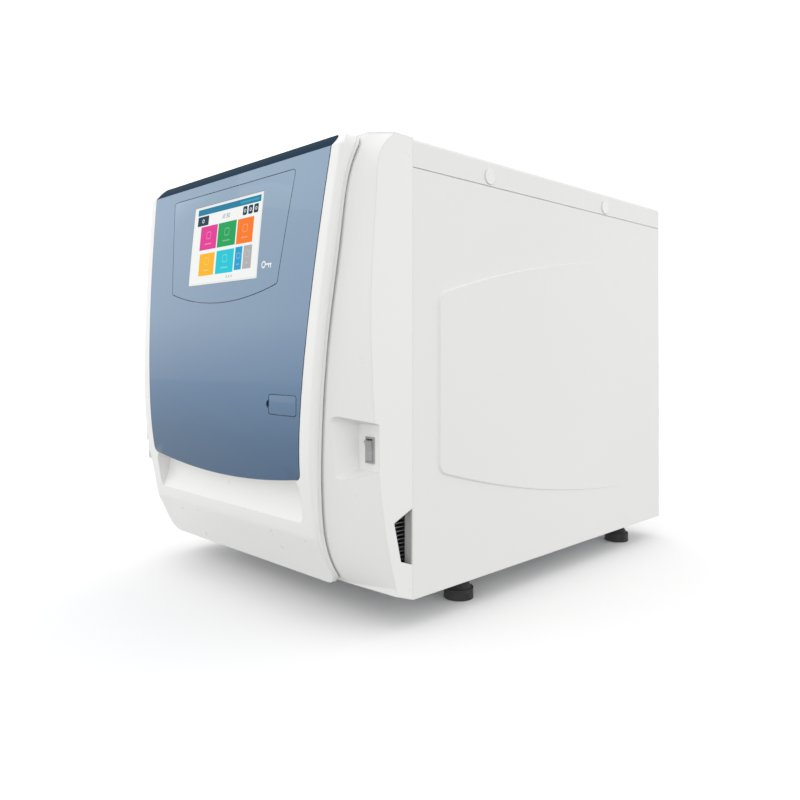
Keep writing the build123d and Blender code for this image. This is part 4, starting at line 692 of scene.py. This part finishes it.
def grid_tree():
    """A node tree: copies of a piece on an upright grid, turned by chance, as one mesh."""
    tree = bpy.data.node_groups.new("upright_grid", "GeometryNodeTree")
    tree.interface.new_socket("Geometry", in_out="INPUT", socket_type="NodeSocketGeometry")
    for name, kind in (("Piece", "Object"), ("Columns", "Int"), ("Rows", "Int"), ("Column Step", "Float"),
                       ("Row Step", "Float"), ("Middle", "Vector"), ("Turn", "Float"), ("Seed", "Int"),
                       ("Finish", "Material")):
        tree.interface.new_socket(name, in_out="INPUT", socket_type="NodeSocket" + kind)
    tree.interface.new_socket("Geometry", in_out="OUTPUT", socket_type="NodeSocketGeometry")
    given = tree.nodes.new("NodeGroupInput").outputs
    wide = number(tree, "MULTIPLY", number(tree, "SUBTRACT", given["Columns"], 1.0), given["Column Step"])
    tall = number(tree, "MULTIPLY", number(tree, "SUBTRACT", given["Rows"], 1.0), given["Row Step"])
    grid = add_node(tree, "GeometryNodeMeshGrid", {"Size X": wide, "Size Y": tall, "Vertices X": given["Columns"],
                                                   "Vertices Y": given["Rows"]}).outputs["Mesh"]
    upright = add_node(tree, "GeometryNodeTransform", {"Geometry": grid, "Translation": given["Middle"],
                                                       "Rotation": (math.pi / 2, 0, 0)}).outputs[0]
    chance = add_node(tree, "FunctionNodeRandomValue", {"Seed": given["Seed"]}, data_type="FLOAT")
    turn = number(tree, "MULTIPLY", chance.outputs[1], given["Turn"])
    about = add_node(tree, "ShaderNodeCombineXYZ", {"Y": turn}).outputs[0]
    piece = add_node(tree, "GeometryNodeObjectInfo", {"Object": given["Piece"]}).outputs["Geometry"]
    copies = add_node(tree, "GeometryNodeInstanceOnPoints", {"Points": upright, "Instance": piece, "Rotation": about})
    whole = add_node(tree, "GeometryNodeRealizeInstances", {"Geometry": copies.outputs[0]}).outputs[0]
    painted = add_node(tree, "GeometryNodeSetMaterial", {"Geometry": whole, "Material": given["Finish"]}).outputs[0]
    tree.links.new(painted, tree.nodes.new("NodeGroupOutput").inputs["Geometry"])
    return tree


upright_grid = grid_tree()
print("grid tree inputs:", [item.name for item in upright_grid.interface.items_tree if item.in_out == "INPUT"])


# %% Setting them on the back sheet
def repeated(name, finish, body, slot, **given):
    """One mesh of copies on a grid, riding on a body."""
    holder = bpy.data.objects.new(name + "_grid", bpy.data.meshes.new(name + "_grid"))
    bpy.context.scene.collection.objects.link(holder)
    modifier = holder.modifiers.new("grid", "NODES")
    modifier.node_group = upright_grid
    given["Finish"] = finishes[finish]
    for item in upright_grid.interface.items_tree:
        if item.in_out == "INPUT" and item.name.replace(" ", "_") in given:
            modifier[item.identifier] = given[item.name.replace(" ", "_")]
    ready = holder.evaluated_get(bpy.context.evaluated_depsgraph_get())
    mesh = bpy.data.meshes.new_from_object(ready)
    mesh.name = name
    bpy.data.objects.remove(holder)
    print(name, "faces", len(mesh.polygons))
    return own_piece(name, mesh, finish, body)


SCREW_SPAN, SCREW_STEP, SCREW_MIDDLE_Z = 0.392, 0.1, 0.262
LOUVRE_STEP_X, LOUVRE_STEP_Z, LOUVRE_MIDDLE_Z = 0.08, 0.014, 0.372
screw, hood = screw_head(), louvre_hood()
repeated("back_screws", "zinc_steel", "cabinet", "zinc_steel", Piece=screw, Columns=2, Rows=5,
         Column_Step=SCREW_SPAN, Row_Step=SCREW_STEP, Middle=(0.0, back_y, SCREW_MIDDLE_Z), Turn=math.tau, Seed=3)
repeated("louvre_hoods", "casing_white", "cabinet", "casing_white", Piece=hood, Columns=4, Rows=7,
         Column_Step=LOUVRE_STEP_X, Row_Step=LOUVRE_STEP_Z, Middle=(0.0, back_y, LOUVRE_MIDDLE_Z), Turn=0.0, Seed=1)
for thing in (screw, hood):
    bpy.data.objects.remove(thing)

# %% [markdown]
# ## Room, light and camera
# A product like this is shot on a white sweep with light from all around, so the whites differ only a little from face
# to face. A white room does that. It gives less light from below than from the sides, so that faces that look down are
# a little greyer, and one soft light from the front left adds a direction.

# %% Floor, light and camera
def pale_floor():
    """A wide matt floor, just under the feet."""
    mesh = bpy.data.meshes.new("floor")
    wide = 14.0
    mesh.from_pydata([(-wide, -wide, 0), (wide, -wide, 0), (wide, wide, 0), (-wide, wide, 0)], [], [(0, 1, 2, 3)])
    thing = bpy.data.objects.new("floor", mesh)
    thing.location.z = -0.0002
    bpy.context.scene.collection.objects.link(thing)
    material, tree, shader = new_finish("studio_floor", (0.95, 0.95, 0.95))
    speckle = spread(tree, noise(tree, place_vector(tree), 30, 2.0), 0.0, 1.0)
    connect(tree, shader, Base_Color=blend_colours(tree, speckle, (0.955, 0.955, 0.955), (0.965, 0.965, 0.965)),
            Roughness=0.9, Specular_IOR_Level=0.0)
    mesh.materials.append(material)
    thing.visible_diffuse = False


def white_room():
    """A room that is plain white to look at, and gives less light from below and from the camera's side."""
    world = bpy.data.worlds.new("white_studio")
    bpy.context.scene.world = world
    world.use_nodes = True
    tree = world.node_tree
    way = add_node(tree, "ShaderNodeTexCoord").outputs["Generated"]
    up = add_node(tree, "ShaderNodeSeparateXYZ", {"Vector": way}).outputs["Z"]
    toward = add_node(tree, "ShaderNodeVectorMath", {0: way, 1: (0.70, -0.71, 0)}, operation="DOT_PRODUCT")
    rising = spread(tree, up, 0.58, 1.62, -0.35, 0.12)
    level = number(tree, "SUBTRACT", rising, spread(tree, up, 0.0, 0.85, 0.12, 0.9))
    dimmed = number(tree, "MULTIPLY", level, spread(tree, toward.outputs["Value"], 1.0, 0.82, 0.2, 0.9))
    seen = add_node(tree, "ShaderNodeLightPath").outputs["Is Camera Ray"]
    tree.links.new(number(tree, "MAXIMUM", dimmed, seen), tree.nodes["Background"].inputs["Strength"])
    tree.nodes["Background"].inputs["Color"].default_value = (1, 1, 1, 1)


def soft_light(name, place, aim, size, power):
    """A large square light."""
    lamp = bpy.data.lights.new(name, "AREA")
    lamp.size, lamp.energy = size, power
    thing = bpy.data.objects.new(name, lamp)
    thing.location = place
    thing.rotation_euler = (Vector(aim) - Vector(place)).to_track_quat("-Z", "Y").to_euler()
    bpy.context.scene.collection.objects.link(thing)


def high_sun(name, power):
    """A very soft light from straight above, that whitens the floor."""
    lamp = bpy.data.lights.new(name, "SUN")
    lamp.energy, lamp.angle = power, math.radians(70)
    thing = bpy.data.objects.new(name, lamp)
    bpy.context.scene.collection.objects.link(thing)


def camera_at(place, turn, lens, shift):
    """The camera, level, looking at the door's right corner."""
    data = bpy.data.cameras.new("camera")
    data.lens, data.sensor_width, data.shift_x, data.shift_y = lens, 36.0, *shift
    thing = bpy.data.objects.new("camera", data)
    thing.location = place
    thing.rotation_euler = (math.pi / 2, 0, math.radians(turn))
    bpy.context.scene.collection.objects.link(thing)
    bpy.context.scene.camera = thing


pale_floor()
white_room()
soft_light("key_light", (-1.3, -1.7, 1.9), (0, -0.1, 0.25), 1.6, 3.0)
high_sun("floor_light", 0.55)
camera_at((0.7392, -0.7628, 0.2835), 45.3, 32.96, (0.0, -0.0621))
bpy.context.scene.view_settings.view_transform = "Standard"
print("camera at", [round(v, 3) for v in bpy.context.scene.camera.location])
